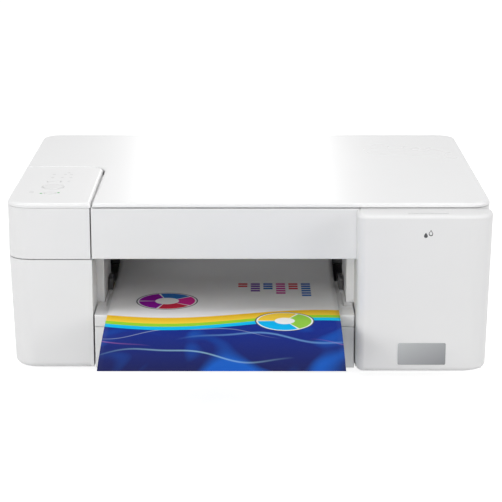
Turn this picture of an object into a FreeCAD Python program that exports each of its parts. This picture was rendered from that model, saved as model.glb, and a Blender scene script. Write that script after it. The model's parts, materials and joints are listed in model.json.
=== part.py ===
import FreeCAD, Part
import math
import os

import Sketcher
from FreeCAD import Placement, Rotation, Vector

# Inkjet printer: a lower casing with the print mechanism, a scanner unit hinged on top of it, a lid over
# the glass, an ink cover at the right front corner and a paper tray under the output mouth.
# Everything is drawn with X to the right, Y back from the casing's front plane and Z up from the floor.
# Each sub-part's Placement then moves it along Y, so that the origin is the middle of the footprint.

os.makedirs("parts", exist_ok=True)
doc = FreeCAD.newDocument("inkjet_printer")

# ---------------------------------------------------------------- driving dimensions (millimetres)
DRIVING = {
    # overall
    "case_width": 435.0,
    "case_depth": 332.0,
    "case_top": 159.0,
    "split_height": 107.0,
    "foot_height": 4.8,
    "foot_radius": 8.0,
    "foot_front": 40.0,
    "foot_back": 26.0,
    "wall": 2.5,
    "seam": 0.8,
    "side_draft": 3.3,
    "front_corner": 22.0,
    "back_corner": 18.0,
    "bottom_round": 6.0,
    # lid, control panel and glass
    "lid_thickness": 4.0,
    "lid_skin": 2.2,
    "lid_round": 2.6,
    "lid_rim": 3.0,
    "panel_width": 76.2,
    "panel_depth": 162.6,
    "panel_corner": 17.0,
    "panel_gap": 1.7,
    "front_gap": 1.1,
    "glass_length": 297.0,
    "glass_width": 216.0,
    "glass_left": 122.0,
    "glass_front": 62.0,
    "glass_lap": 5.0,
    "glass_thickness": 3.0,
    # output mouth
    "mouth_left": 141.0,
    "mouth_right": 97.4,
    "mouth_step": 7.0,
    "mouth_length": 125.0,
    # ink cover
    "cover_reach": 27.0,
    "cover_left": 96.6,
    "cover_bottom": 9.0,
    "cover_gap": 0.8,
    "cover_lean": 3.0,
    "cover_pivot_in": 10.0,
    "cover_pivot_height": 12.0,
    "cover_arm_radius": 3.6,
    # paper tray and sheet
    "tray_left": 139.7,
    "tray_right": 95.9,
    "tray_front_height": 43.9,
    "tray_cover_top": 54.9,
    "tray_block": 44.0,
    "tray_length": 312.0,
    "tray_clear": 0.5,
    "tray_seam": 0.2,
    "tray_floor": 9.0,
    "tray_wall_top": 42.5,
    "guide_height": 36.0,
    "guide_thickness": 2.0,
    "sheet_width": 210.0,
    "sheet_centre": -22.8,
    "sheet_overhang": 123.0,
    "sheet_flat": 110.0,
    "sheet_thickness": 0.3,
    "front_bend": 536.0,
    "back_bend": 197.0,
    "sheet_end": 170.0,
    # print mechanism
    "frame_left": 196.0,
    "frame_right": 200.5,
    "frame_sheet": 1.5,
    "feed_y": 236.0,
    "feed_z": 64.4,
    "feed_radius": 6.0,
    "exit_y": 174.0,
    "exit_z": 61.0,
    "exit_radius": 4.4,
    "bearing_play": 0.05,
    "gear_module": 1.0,
    "gear_width": 5.0,
    "head_height": 70.5,
    "belt_height": 90.0,
    "belt_width": 6.0,
    "belt_thickness": 1.2,
    "pulley_radius": 7.0,
    "pulley_y": 280.0,
    "pulley_left": -175.0,
    "pulley_right": 188.0,
    "carriage_width": 92.0,
    "carriage_right": 190.0,
    # ink
    "cartridge_width": 20.0,
    "cartridge_height": 62.0,
    "cartridge_length": 88.0,
    "cartridge_pitch": 24.5,
    "slot_play": 0.8,
    # hinges
    "scanner_pivot_in": 4.0,
    "scanner_pin": 2.0,
    "scanner_lug": 3.6,
    "lid_pivot_in": 2.4,
    "lid_pin": 1.1,
    "lid_ear": 2.0,
    "lid_lug": 2.3,
    "jam_left": 110.0,
    "jam_right": 70.0,
    "jam_low": 25.0,
    "jam_high": 85.0,
    # controls
    "start_radius": 9.4,
    "power_radius": 5.5,
    "button_play": 0.35,
}

sheet = doc.addObject("Spreadsheet::Sheet", "Sizes")
for row, (alias, value) in enumerate(DRIVING.items(), start=1):
    sheet.set(f"A{row}", alias.replace("_", " "))
    sheet.set(f"B{row}", str(value))
    sheet.setAlias(f"B{row}", alias)
doc.recompute()


class Size:
    """A length together with the spreadsheet formula that gives it."""

    def __init__(self, value, formula):
        self.value = float(value)
        self.formula = formula

    def __float__(self):
        return self.value

    def __neg__(self):
        return Size(-self.value, f"-({self.formula})")

    def __add__(self, other):
        return Size(self.value + float(other), f"({self.formula} + {formula(other)})")

    def __radd__(self, other):
        return Size(float(other) + self.value, f"({formula(other)} + {self.formula})")

    def __sub__(self, other):
        return Size(self.value - float(other), f"({self.formula} - {formula(other)})")

    def __rsub__(self, other):
        return Size(float(other) - self.value, f"({formula(other)} - {self.formula})")

    def __mul__(self, other):
        return Size(self.value * float(other), f"({self.formula} * {formula(other)})")

    def __rmul__(self, other):
        return self * other

    def __truediv__(self, other):
        return Size(self.value / float(other), f"({self.formula} / {formula(other)})")


def formula(number):
    return number.formula if isinstance(number, Size) else f"({float(number)!r})"


def cell(alias):
    return Size(sheet.get(alias), f"Sizes.{alias}")


def bind(item, path, number):
    """Ties a property to the spreadsheet, or just sets it where the number is fixed."""
    item.setExpression(path, formula(number))


# ---------------------------------------------------------------- building blocks
TURN = {"x": Rotation(Vector(0, 1, 0), 90), "y": Rotation(Vector(1, 0, 0), -90), "z": Rotation()}


def place(item, x, y, z, rotation=Rotation()):
    item.Placement = Placement(Vector(float(x), float(y), float(z)), rotation)
    bind(item, "Placement.Base.x", x)
    bind(item, "Placement.Base.y", y)
    bind(item, "Placement.Base.z", z)
    return item


def box(x0, x1, y0, y1, z0, z1):
    """A block between two corners."""
    item = doc.addObject("Part::Box", "Block")
    bind(item, "Length", x1 - x0)
    bind(item, "Width", y1 - y0)
    bind(item, "Height", z1 - z0)
    return place(item, x0, y0, z0)


def rod(axis, x, y, z, length, radius):
    """A cylinder that starts at x, y, z and runs along an axis."""
    item = doc.addObject("Part::Cylinder", "Rod")
    bind(item, "Radius", radius)
    bind(item, "Height", length)
    return place(item, x, y, z, TURN[axis])


def tapered(low, high, z0, z1):
    """A block whose x0, x1, y0, y1 change evenly from its bottom to its top."""
    item = doc.addObject("Part::Wedge", "Taper")
    bind(item, "Xmin", low[0])
    bind(item, "Xmax", low[1])
    bind(item, "Zmin", -low[3])
    bind(item, "Zmax", -low[2])
    bind(item, "X2min", high[0])
    bind(item, "X2max", high[1])
    bind(item, "Z2min", -high[3])
    bind(item, "Z2max", -high[2])
    bind(item, "Ymin", z0)
    bind(item, "Ymax", z1)
    item.Placement = Placement(Vector(0, 0, 0), Rotation(Vector(1, 0, 0), 90))
    return item


def fuse(*pieces):
    item = doc.addObject("Part::MultiFuse", "Joined")
    item.Shapes = list(pieces)
    item.Refine = True
    return item


def cut(base, *tools):
    item = doc.addObject("Part::Cut", "Cut")
    item.Base = base
    item.Tool = tools[0] if len(tools) == 1 else fuse(*tools)
    return item


def group(*pieces):
    item = doc.addObject("Part::Compound", "Group")
    item.Links = list(pieces)
    return item


def prism(plane, points, low, high):
    """A PartDesign body: a pad of a straight-sided outline between two heights over an origin plane."""
    body = doc.addObject("PartDesign::Body", "Body")
    face = [part for part in body.Origin.OriginFeatures if part.Role == f"{plane}_Plane"][0]
    sketch = body.newObject("Sketcher::SketchObject", "Outline")
    sketch.AttachmentSupport = [(face, "")]
    sketch.MapMode = "FlatFace"
    # the XZ plane looks along -Y, so there the pad runs from its far side towards the near one
    bind(sketch, "AttachmentOffset.Base.z", -high if plane == "XZ" else low)
    ends = points[1:] + points[:1]
    for (u, v), (u_next, v_next) in zip(points, ends):
        start = Vector(float(u), float(v), 0)
        sketch.addGeometry(Part.LineSegment(start, Vector(float(u_next), float(v_next), 0)), False)
    for index, (u, v) in enumerate(points):
        sketch.addConstraint(Sketcher.Constraint("Coincident", index, 2, (index + 1) % len(points), 1))
        for kind, number in (("DistanceX", u), ("DistanceY", v)):
            last = sketch.addConstraint(Sketcher.Constraint(kind, -1, 1, index, 1, float(number)))
            sketch.setExpression(f"Constraints[{last}]", formula(number))
    pad = body.newObject("PartDesign::Pad", "Pad")
    pad.Profile = sketch
    bind(pad, "Length", high - low)
    body.Tip = pad
    return body


def edges(item, test):
    doc.recompute()
    return [number for number, edge in enumerate(item.Shape.Edges, start=1) if test(edge)]


def round_edges(item, *rules):
    """Rounds edges: each rule is a radius and a test that says which edges get it."""
    rounded = doc.addObject("Part::Fillet", "Rounded")
    rounded.Base = item
    chosen = []
    for radius, test in rules:
        chosen += [(number, float(radius), float(radius)) for number in edges(item, test)]
    rounded.Edges = chosen
    return rounded


def upright(edge):
    span = edge.BoundBox
    return span.ZLength > 1 and span.ZLength > 5 * max(span.XLength, span.YLength)


def level(height):
    """Edges that lie flat at a height."""
    def test(edge):
        return max(abs(end - float(height)) for end in (edge.BoundBox.ZMin, edge.BoundBox.ZMax)) < 0.005
    return test


def corner(x_sign, y_low, y_high):
    """Upright edges on one side of the object, between two depths; a sign of 0 takes both sides."""
    def test(edge):
        middle = edge.BoundBox.Center
        side = x_sign == 0 or middle.x * x_sign > 0
        return upright(edge) and side and float(y_low) <= middle.y <= float(y_high)
    return test


def both(*tests):
    return lambda edge: all(test(edge) for test in tests)


def drawn(shape):
    """A sub-part drawn straight with Part's functions."""
    item = doc.addObject("Part::Feature", "Drawn")
    item.Shape = shape
    return item


nodes = []


def finish(label, item):
    """Names a sub-part and moves it back, so that the origin is the middle of the footprint."""
    if item.TypeId in ("Part::Box", "Part::Cylinder", "Part::Wedge"):
        item = group(item)
    item.Label = label
    item.Placement = Placement(Vector(0, float(front_plane), 0), Rotation())
    bind(item, "Placement.Base.y", front_plane)
    nodes.append(item)
    return item


# ---------------------------------------------------------------- places that several pieces share
wall = cell("wall")
seam = cell("seam")
half_width = cell("case_width") / 2
depth = cell("case_depth")
front_plane = (cell("sheet_overhang") - depth) / 2
split = cell("split_height")
lower_top = split - seam / 2
upper_bottom = split + seam / 2
lid_top = cell("case_top")
lid_bottom = lid_top - cell("lid_thickness")
upper_top = lid_bottom - seam
case_bottom = cell("foot_height")
floor_top = case_bottom + wall
front_corner = cell("front_corner")
back_corner = cell("back_corner")
mouth_left = -cell("mouth_left")
mouth_right = cell("mouth_right")
mouth_step = cell("mouth_step")
mouth_length = cell("mouth_length")
panel_right = cell("panel_width") - half_width
panel_depth = cell("panel_depth")
panel_gap = cell("panel_gap")
play = cell("bearing_play")
past = 5.0   # how far a cutting tool runs past what it cuts


def casing_block(inset, z0, z1):
    """The lower casing's outline, drawn in all round by an inset: its sides lean in towards the floor."""
    lean = cell("side_draft") / (lower_top - case_bottom)
    x0 = half_width - inset - lean * (lower_top - z0)
    x1 = half_width - inset + lean * (z1 - lower_top)
    block = tapered((-x0, x0, inset, depth - inset), (-x1, x1, inset, depth - inset), z0, z1)
    rules = [(front_corner - inset, corner(0, -past, depth / 2)),
             (back_corner - inset, corner(0, depth / 2, 2 * depth))]
    return block, rules


# ---------------------------------------------------------------- lower casing
block, rules = casing_block(cell("wall") * 0, case_bottom, lower_top)
outside = round_edges(block, *rules, (cell("bottom_round"), level(case_bottom)))
block, rules = casing_block(wall, floor_top, lower_top + past)
inside = round_edges(block, *rules)


def cheek(sign, edge_x):
    """One side wall of the output mouth: it steps inwards behind the tray's front block."""
    inner = edge_x - mouth_step * sign
    skin = wall * sign
    step_back = cell("tray_block") + 2
    outline = [(edge_x, 0), (edge_x, step_back), (inner, step_back), (inner, mouth_length)]
    outline += [(inner + skin, mouth_length), (inner + skin, step_back + wall)]
    outline += [(edge_x + skin, step_back + wall), (edge_x + skin, 0)]
    return prism("XY", outline, floor_top - 0.5, lower_top)


ink_left = cell("cover_left") + 6.4
ink_right = ink_left + 4 * cell("cartridge_pitch") + 1
jam_left = -cell("jam_left")
jam_right = cell("jam_right")
jam_low = cell("jam_low")
jam_high = cell("jam_high")
inlet_left = -(half_width - 21.5)
inlet_right = inlet_left + 28
inlet_low, inlet_high = 20.0, 42.0
pivot_y = depth - cell("scanner_pivot_in")
cover_front = -cell("cover_reach")
cover_pivot_y = cover_front + cell("cover_pivot_in")
cover_pivot_z = cell("cover_pivot_height")
cover_arms = (cell("cover_left") + 6.4, half_width - front_corner)
cover_pin = 1.5
arm_width = 4.0
hinge_lugs = (-150.0, 150.0)
lug_width = 8.0
ear_width = 4.0
ear_gap = 1.5


def cover_arm(x):
    """A bar that stands out of the casing's foot and carries the ink cover's pin."""
    radius = cell("cover_arm_radius")
    bar = box(x, x + arm_width, cover_pivot_y, wall, cover_pivot_z - radius + 0.4, cover_pivot_z + radius)
    return [bar, rod("x", x, cover_pivot_y, cover_pivot_z, arm_width, radius)]


def scanner_ears(x):
    """Two ears on the casing's back wall, one each side of the scanner unit's lug."""
    pieces = []
    for left in (x - lug_width / 2 - ear_gap - ear_width, x + lug_width / 2 + ear_gap):
        pieces.append(rod("x", left, pivot_y, split, ear_width, cell("scanner_lug")))
        pieces.append(box(left, left + ear_width, pivot_y - 3, depth - wall + 0.5, split - 15, split - 1))
    return pieces


def back_bevel(edge_z, size, up):
    """A wedge that bevels the back edge at a height: over it where up is -1, under it where up is 1."""
    points = [(depth - size, edge_z - 2 * up), (depth - size, edge_z), (depth + 1, edge_z + up * (size + 1)),
              (depth + 1, edge_z - 2 * up)]
    return prism("YZ", points, -half_width - past, half_width + past)


walls = cut(
    cut(outside, inside),
    box(mouth_left, mouth_right, -past, wall + 0.1, 0, lower_top + past),
    box(mouth_left, mouth_right, -past, 14, 0, floor_top + 1),
    box(ink_left, ink_right, -past, 14, floor_top + 6, lower_top - 10),
    box(jam_left - 2, jam_right + 2, depth - wall - past, depth + past, jam_low - 2, jam_high + 2),
    box(inlet_left - 0.5, inlet_right + 0.5, depth - wall - past, depth + past,
        inlet_low - 0.5, inlet_high + 0.5),
    back_bevel(lower_top, 3.7, -1),
    *[box(x - lug_width / 2 - 0.7, x + lug_width / 2 + 0.7, pivot_y - 5, depth + 1, split - 4.4, split + 1)
      for x in hinge_lugs],
)
casing_parts = [walls, cheek(-1, mouth_left), cheek(1, mouth_right)]
for x in cover_arms:
    casing_parts += cover_arm(x)
for x in hinge_lugs:
    casing_parts += scanner_ears(x)
bores = [rod("x", x - 2, cover_pivot_y, cover_pivot_z, arm_width + 4, cover_pin + play) for x in cover_arms]
bores += [rod("x", x - 15, pivot_y, split, 30, cell("scanner_pin") + play) for x in hinge_lugs]
finish("lower_casing", cut(fuse(*casing_parts), *bores))

feet_x = half_width - 30
feet = [rod("z", x, y, 0, case_bottom, cell("foot_radius"))
        for x in (-feet_x, feet_x) for y in (cell("foot_front"), depth - cell("foot_back"))]
finish("rubber_feet", group(*feet))

# ---------------------------------------------------------------- middle cover over the mechanism
deck_low = lower_top - 4.5
deck_high = lower_top - 2
deck_edge = half_width - wall - 0.6
deck_back = depth - 20
deck = round_edges(box(-deck_edge, deck_edge, wall + 0.5, deck_back, deck_low, deck_high),
                   (front_corner - wall, corner(0, -past, 40)))
screw_back = depth - 36
screw_places = [(x, y) for x in (17.5 - half_width, half_width - 13.5) for y in (120.0, screw_back)]
screw_places += [(-60.0, screw_back), (60.0, screw_back)]
deck_cut = [box(mouth_left - 4, mouth_right + 4, -past, mouth_length + 1.5, deck_low - 1, deck_high + 1),
            box(-160, 100, 176, 268, deck_low - 1, deck_high + 1)]
deck_cut += [rod("z", x, y, deck_low - 1, 5, 1.7) for x, y in screw_places]
finish("middle_cover", cut(deck, *deck_cut))

screws = []
for x, y in screw_places:
    head = round_edges(rod("z", x, y, deck_high, 1.8, 3), (0.8, level(deck_high + 1.8)))
    recess = box(x - 1.6, x + 1.6, y - 0.4, y + 0.4, deck_high + 1, deck_high + 3)
    recess_across = box(x - 0.4, x + 0.4, y - 1.6, y + 1.6, deck_high + 1, deck_high + 3)
    screws.append(cut(fuse(head, rod("z", x, y, deck_high - 8, 8.1, 1.5)), recess, recess_across))
finish("casing_screws", group(*screws))

# ---------------------------------------------------------------- rear jam cover and power inlet
jam_plate = fuse(box(jam_left, jam_right, depth - wall, depth, jam_low + wall / 2, jam_high),
                 rod("x", jam_left, depth - wall / 2, jam_low + wall / 2, jam_right - jam_left, wall / 2))
jam_ribs = [box(x, x + 2, depth - 12, depth - wall + 0.1, jam_low + 10, jam_high - 6)
            for x in range(-100, 70, 20)]
finish("jam_clear_cover", fuse(jam_plate, *jam_ribs))
inlet = box(inlet_left, inlet_right, depth - 16, depth - 0.6, inlet_low, inlet_high)
inlet_middle = (inlet_low + inlet_high) / 2
socket_places = [inlet_left + x for x in (9.5, 18.5)]
sockets = [rod("y", x, depth - 12, inlet_middle, 20, 6) for x in socket_places]
contacts = [rod("y", x, depth - 13, inlet_middle, 9, 1.2) for x in socket_places]
finish("ac_inlet", fuse(cut(inlet, *sockets), *contacts))

# ---------------------------------------------------------------- print frame, rails, rollers and gears
frame_left = -cell("frame_left")
frame_right = cell("frame_right")
plate = cell("frame_sheet")
feed_y, feed_z, feed_r = cell("feed_y"), cell("feed_z"), cell("feed_radius")
exit_y, exit_z, exit_r = cell("exit_y"), cell("exit_z"), cell("exit_radius")
frame_top = deck_low - 1
frame_front, frame_back = 160.0, 302.0
feed_shaft, exit_shaft, small_shaft = 4.0, 3.0, 1.2
star_radius, pinch_radius = 5.4, 3.6
star_axis_z = exit_z + exit_r + star_radius + 1.6
pinch_axis_z = feed_z + feed_r + pinch_radius + 0.6
frame_parts = [
    box(frame_left, frame_left + plate, frame_front, frame_back, floor_top, frame_top),
    box(frame_right - plate, frame_right, frame_front, frame_back, floor_top, frame_top),
    box(frame_left, frame_right, frame_back - plate, frame_back, frame_top - 13.3, frame_top),
]
shaft_bores = (
    (feed_y, feed_z, feed_shaft), (exit_y, exit_z, exit_shaft),
    (exit_y, star_axis_z, small_shaft), (feed_y, pinch_axis_z, small_shaft),
)
frame_bores = [rod("x", x - 1, y, z, plate + 2, radius + play)
               for x in (frame_left, frame_right - plate) for y, z, radius in shaft_bores]
rail_left = frame_left + plate + 0.1
rail_right = frame_right - plate - 0.1


def toothed_disc(centre, teeth, turn, width, bore, upright_axis=False):
    """Straight-flanked teeth round an axis along X, or along Z if upright; one tooth points at turn."""
    module = float(cell("gear_module"))
    pitch_radius = module * teeth / 2
    step = 2 * math.pi / teeth
    profile = ((-0.30, -1.25), (-0.12, 0.85), (0.12, 0.85), (0.30, -1.25))
    points = []
    for tooth in range(teeth):
        for share, height in profile:
            angle = turn + (tooth + share) * step
            radius = pitch_radius + height * module
            along, across = radius * math.cos(angle), radius * math.sin(angle)
            points.append(centre + (Vector(along, across, 0) if upright_axis else Vector(0, along, across)))
    axis = Vector(0, 0, 1) if upright_axis else Vector(1, 0, 0)
    disc = Part.Face(Part.makePolygon(points + points[:1])).extrude(axis * float(width))
    if not bore:
        return drawn(disc)
    return drawn(disc.cut(Part.makeCylinder(float(bore), float(width) + 2, centre - axis, axis)))


def gear(x, y, z, teeth, turn, width, bore):
    return toothed_disc(Vector(float(x), float(y), float(z)), teeth, turn, width, bore)


def gear_axis(first, first_reach, second, second_reach):
    """The place of a gear that meshes with two others: where the circles round their axes meet."""
    dy = float(second[0]) - float(first[0])
    dz = float(second[1]) - float(first[1])
    gap = math.hypot(dy, dz)
    along = (first_reach ** 2 - second_reach ** 2 + gap ** 2) / (2 * gap)
    across = math.sqrt(first_reach ** 2 - along ** 2)
    return (float(first[0]) + (along * dy - across * dz) / gap,
            float(first[1]) + (along * dz + across * dy) / gap)


def meshing_turn(driver, driver_teeth, driver_turn, follower, follower_teeth):
    """The angle at which the follower's gap faces the driver's tooth, or its share of a tooth between."""
    line = math.atan2(follower[1] - driver[1], follower[0] - driver[0])
    ahead = ((line - driver_turn) * driver_teeth / (2 * math.pi)) % 1
    return line + math.pi + (ahead + 0.5) * 2 * math.pi / follower_teeth


feed_teeth, idler_teeth, exit_teeth, pinion_teeth = 40, 33, 20, 12
module = float(cell("gear_module"))
gear_width = cell("gear_width")
gear_x = frame_left - gear_width - 1.2
feed_axis = (float(feed_y), float(feed_z))
exit_axis = (float(exit_y), float(exit_z))
idler_axis = gear_axis(feed_axis, module * (feed_teeth + idler_teeth) / 2,
                       exit_axis, module * (idler_teeth + exit_teeth) / 2)
pinion_line = math.radians(-60)
pinion_reach = module * (feed_teeth + pinion_teeth) / 2
pinion_axis = (feed_axis[0] + pinion_reach * math.cos(pinion_line),
               feed_axis[1] + pinion_reach * math.sin(pinion_line))
idler_turn = meshing_turn(feed_axis, feed_teeth, 0.0, idler_axis, idler_teeth)
exit_turn = meshing_turn(idler_axis, idler_teeth, idler_turn, exit_axis, exit_teeth)
pinion_turn = meshing_turn(feed_axis, feed_teeth, 0.0, pinion_axis, pinion_teeth)

# stub pin for the idler gear, on the frame's left plate
stub = rod("x", gear_x - 0.5, idler_axis[0], idler_axis[1], frame_left - gear_x + 0.6, 2)
frame_bores.append(rod("x", frame_left - 1, pinion_axis[0], pinion_axis[1], plate + 2, 4))
pulley_y = cell("pulley_y")
bracket_x = cell("pulley_right")
bracket = fuse(box(bracket_x - 9, bracket_x + 9, pulley_y - 10, 300.6, 84, 87.4),
               rod("z", bracket_x, pulley_y, 84, 14, 1.5))
finish("print_frame", fuse(cut(fuse(*frame_parts), *frame_bores), stub, bracket))

roller = fuse(rod("x", rail_left + 0.5, feed_y, feed_z, rail_right - rail_left - 1, feed_r),
              rod("x", gear_x, feed_y, feed_z, frame_right + 2 - gear_x, feed_shaft))
finish("main_feed_roller", roller)
finish("feed_gear", gear(gear_x, feed_y, feed_z, feed_teeth, 0.0, gear_width, feed_shaft))
exit_places = range(-120, 90, 38)
sleeves = [rod("x", x, exit_y, exit_z, 14, exit_r) for x in exit_places]
finish("exit_roller", fuse(rod("x", gear_x, exit_y, exit_z, frame_right + 2 - gear_x, exit_shaft), *sleeves,
                           gear(gear_x, exit_y, exit_z, exit_teeth, exit_turn, gear_width, 0)))
finish("idler_gear", gear(gear_x, *idler_axis, idler_teeth, idler_turn, gear_width, 2 + play))
finish("motor_pinion", gear(gear_x, *pinion_axis, pinion_teeth, pinion_turn, gear_width, 1.5 + play))
finish("feed_motor", fuse(rod("x", frame_left + plate + 0.2, *pinion_axis, 28, 15),
                          rod("x", gear_x, *pinion_axis, frame_left - gear_x + plate + 1, 1.5)))

shaft_left = frame_left - 0.8
shaft_length = frame_right - frame_left + 2
stars = [rod("x", x + 6, exit_y, star_axis_z, 1.2, star_radius) for x in exit_places]
finish("star_wheels", fuse(rod("x", shaft_left, exit_y, star_axis_z, shaft_length, small_shaft), *stars))
pinches = [rod("x", x, feed_y, pinch_axis_z, 24, pinch_radius) for x in range(-124, 80, 34)]
finish("pinch_rollers", fuse(rod("x", shaft_left, feed_y, pinch_axis_z, shaft_length, small_shaft), *pinches))

front_rail = fuse(box(rail_left, rail_right, 180, 181.5, 80, frame_top - 2),
                  box(rail_left, rail_right, 170, 181.5, frame_top - 3.5, frame_top - 2))
finish("guide_rail_front", front_rail)
rear_rail = fuse(box(rail_left, rail_right, 266, 267.5, 68, 88),
                 box(rail_left, rail_right, 267.5, 276, 68, 69.5))
finish("guide_rail_rear", rear_rail)
finish("encoder_strip", box(rail_left + 4, rail_right - 4, 262.8, 263.1, frame_top - 12, frame_top - 5))

platen_left, platen_right = -130.0, 88.0
platen_front = 186.0
platen_back = feed_y - feed_r - 4
platen_low, platen_high = 58.0, 62.0
platen_ribs = [box(x, x + 2, platen_front + 1, platen_back - 1, platen_high - 0.1, platen_high + 4.8)
               for x in range(-126, 88, 15)]
pickup_y, pickup_z = 235.0, 52.0
arm_x = -34.0
hanger_places = (arm_x - 5, arm_x + 23)
hangers = [box(x, x + 4, pickup_y - 13, pickup_y + 4, pickup_z - 4, platen_low + 0.2) for x in hanger_places]
hangers += [box(x, x + 4, 212, pickup_y - 9, platen_low - 4, platen_low + 0.2) for x in hanger_places]
platen = fuse(box(platen_left, platen_right, platen_front, platen_back, platen_low, platen_high),
              *platen_ribs, *hangers, rod("x", arm_x - 5, pickup_y, pickup_z, 32, 2.5))
finish("platen", platen)

# ---------------------------------------------------------------- carriage and its belt drive
carriage_right = cell("carriage_right")
carriage_left = carriage_right - cell("carriage_width")
head_height = cell("head_height")
belt_low = cell("belt_height")
belt_high = belt_low + cell("belt_width")
pulley_r = cell("pulley_radius")
belt_out = cell("belt_thickness")
belt_gap = 0.3
low_body = box(carriage_left, carriage_right, 183, 226, head_height + 1.5, frame_top - 3)
high_body = box(carriage_left, carriage_right, 183, 261, 83, frame_top - 3)
carriage_hollow = box(carriage_left + 3, carriage_right - 3, 186, 222, 80, frame_top)
clamp_y = pulley_y - pulley_r - belt_gap - belt_out - 0.4
clamp_left, clamp_right = carriage_right - 60, carriage_right - 40
clamp_top = frame_top - 1
clamp_arm = box(clamp_left, clamp_right, 262, clamp_y, clamp_top - 2.5, clamp_top)
clamp_back = box(clamp_left, clamp_right, 260, 262.3, belt_low, clamp_top)
clamp_tip = box(clamp_left, clamp_right, clamp_y - 2, clamp_y, belt_low, clamp_top)
finish("print_carriage", fuse(cut(fuse(low_body, high_body), carriage_hollow),
                              clamp_arm, clamp_back, clamp_tip))
finish("print_head", box(carriage_left + 12, carriage_right - 12, 192, 218, head_height, head_height + 1.5))


def pulley(x):
    """A belt wheel on an upright shaft, with a flange above and below the belt."""
    low = rod("z", x, pulley_y, belt_low - 1.8, 1.2, pulley_r + 2)
    high = rod("z", x, pulley_y, belt_high + 0.6, 1.2, pulley_r + 2)
    return cut(fuse(rod("z", x, pulley_y, belt_low - 1.8, cell("belt_width") + 3.6, pulley_r), low, high),
               rod("z", x, pulley_y, belt_low - past, 20, 1.5 + play))


def belt_loop(radius):
    """A loop round both pulleys at a given distance from their axes."""
    x0, x1 = float(cell("pulley_left")), float(cell("pulley_right"))
    y, z = float(pulley_y), float(belt_low)
    front_left, front_right = Vector(x0, y - radius, z), Vector(x1, y - radius, z)
    back_left, back_right = Vector(x0, y + radius, z), Vector(x1, y + radius, z)
    left = Part.Arc(front_left, Vector(x0 - radius, y, z), back_left).toShape()
    right = Part.Arc(back_right, Vector(x1 + radius, y, z), front_right).toShape()
    back = Part.makeLine(back_left, back_right)
    front = Part.makeLine(front_right, front_left)
    return Part.Face(Part.Wire([left, back, right, front])).extrude(Vector(0, 0, float(cell("belt_width"))))


inner_loop = float(pulley_r) + belt_gap
finish("carriage_belt", drawn(belt_loop(inner_loop + float(belt_out)).cut(belt_loop(inner_loop))))
finish("drive_pulley", pulley(cell("pulley_left")))
finish("idler_pulley", pulley(cell("pulley_right")))
motor_low = belt_low - 63
motor_radius = 15.0
finish("carriage_motor", fuse(rod("z", cell("pulley_left"), pulley_y, motor_low, 37, motor_radius),
                              rod("z", cell("pulley_left"), pulley_y, motor_low, 71, 1.5)))

# ---------------------------------------------------------------- pickup arm, service station and electrics
arm_reach = 50.0
roller_y = pickup_y + arm_reach
arm_width_x = 22.0
arm_plates = [box(arm_x + x, arm_x + x + 3, pickup_y - 3, roller_y + 4, pickup_z - 4, pickup_z + 4)
              for x in (0, arm_width_x - 3)]
arm_hub = rod("x", arm_x, pickup_y, pickup_z, arm_width_x, 4.4)
arm_bridge = box(arm_x, arm_x + arm_width_x, pickup_y + 14, pickup_y + 30, pickup_z - 1, pickup_z + 4)
finish("pickup_arm", cut(fuse(*arm_plates, arm_hub, arm_bridge),
                         rod("x", arm_x - 1, pickup_y, pickup_z, arm_width_x + 2, 2.5 + play),
                         rod("x", arm_x - 1, roller_y, pickup_z, arm_width_x + 2, 2 + play)))
finish("pickup_roller", fuse(rod("x", arm_x + 4, roller_y, pickup_z, arm_width_x - 8, 9),
                             rod("x", arm_x, roller_y, pickup_z, arm_width_x, 2)))

inside_floor = floor_top + 0.5
station_left, station_right = 100.0, 192.0
station_high = platen_high
station = box(station_left, station_right, 190, 227, inside_floor, station_high)
station_well = box(station_left + 10, station_right - 14, 191.5, 222, station_high - 14, station_high + 1)
finish("maintenance_station", cut(station, station_well))
cap_left, cap_right = station_left + 12, station_right - 16
cap_front, cap_back = 193.0, 220.5
cap_rim = 3.0
cap_block = box(cap_left, cap_right, cap_front, cap_back, station_high - 6, head_height - 1)
cap_hollow = box(cap_left + cap_rim, cap_right - cap_rim, cap_front + cap_rim, cap_back - cap_rim,
                 head_height - 3, head_height)
finish("head_cap", cut(cap_block, cap_hollow))
waste_box = box(station_left, station_right, depth - 66, depth - 10, inside_floor, 56)
finish("waste_ink_box", round_edges(waste_box, (3, upright)))
board_left = 8.5 - half_width
board_right = board_left + 1.6
chip_places = ((180, 30, 22), (215, 55, 16), (250, 34, 12))
chips = [box(board_right - 0.1, board_right + 2.4, y, y + width, z, z + width) for y, z, width in chip_places]
finish("main_board", fuse(box(board_left, board_right, 165, 296, 20, 92), *chips))
supply = box(12.5 - half_width, mouth_left - 6, 40, 150, inside_floor, 55)
finish("power_supply", round_edges(supply, (2, upright)))

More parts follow.
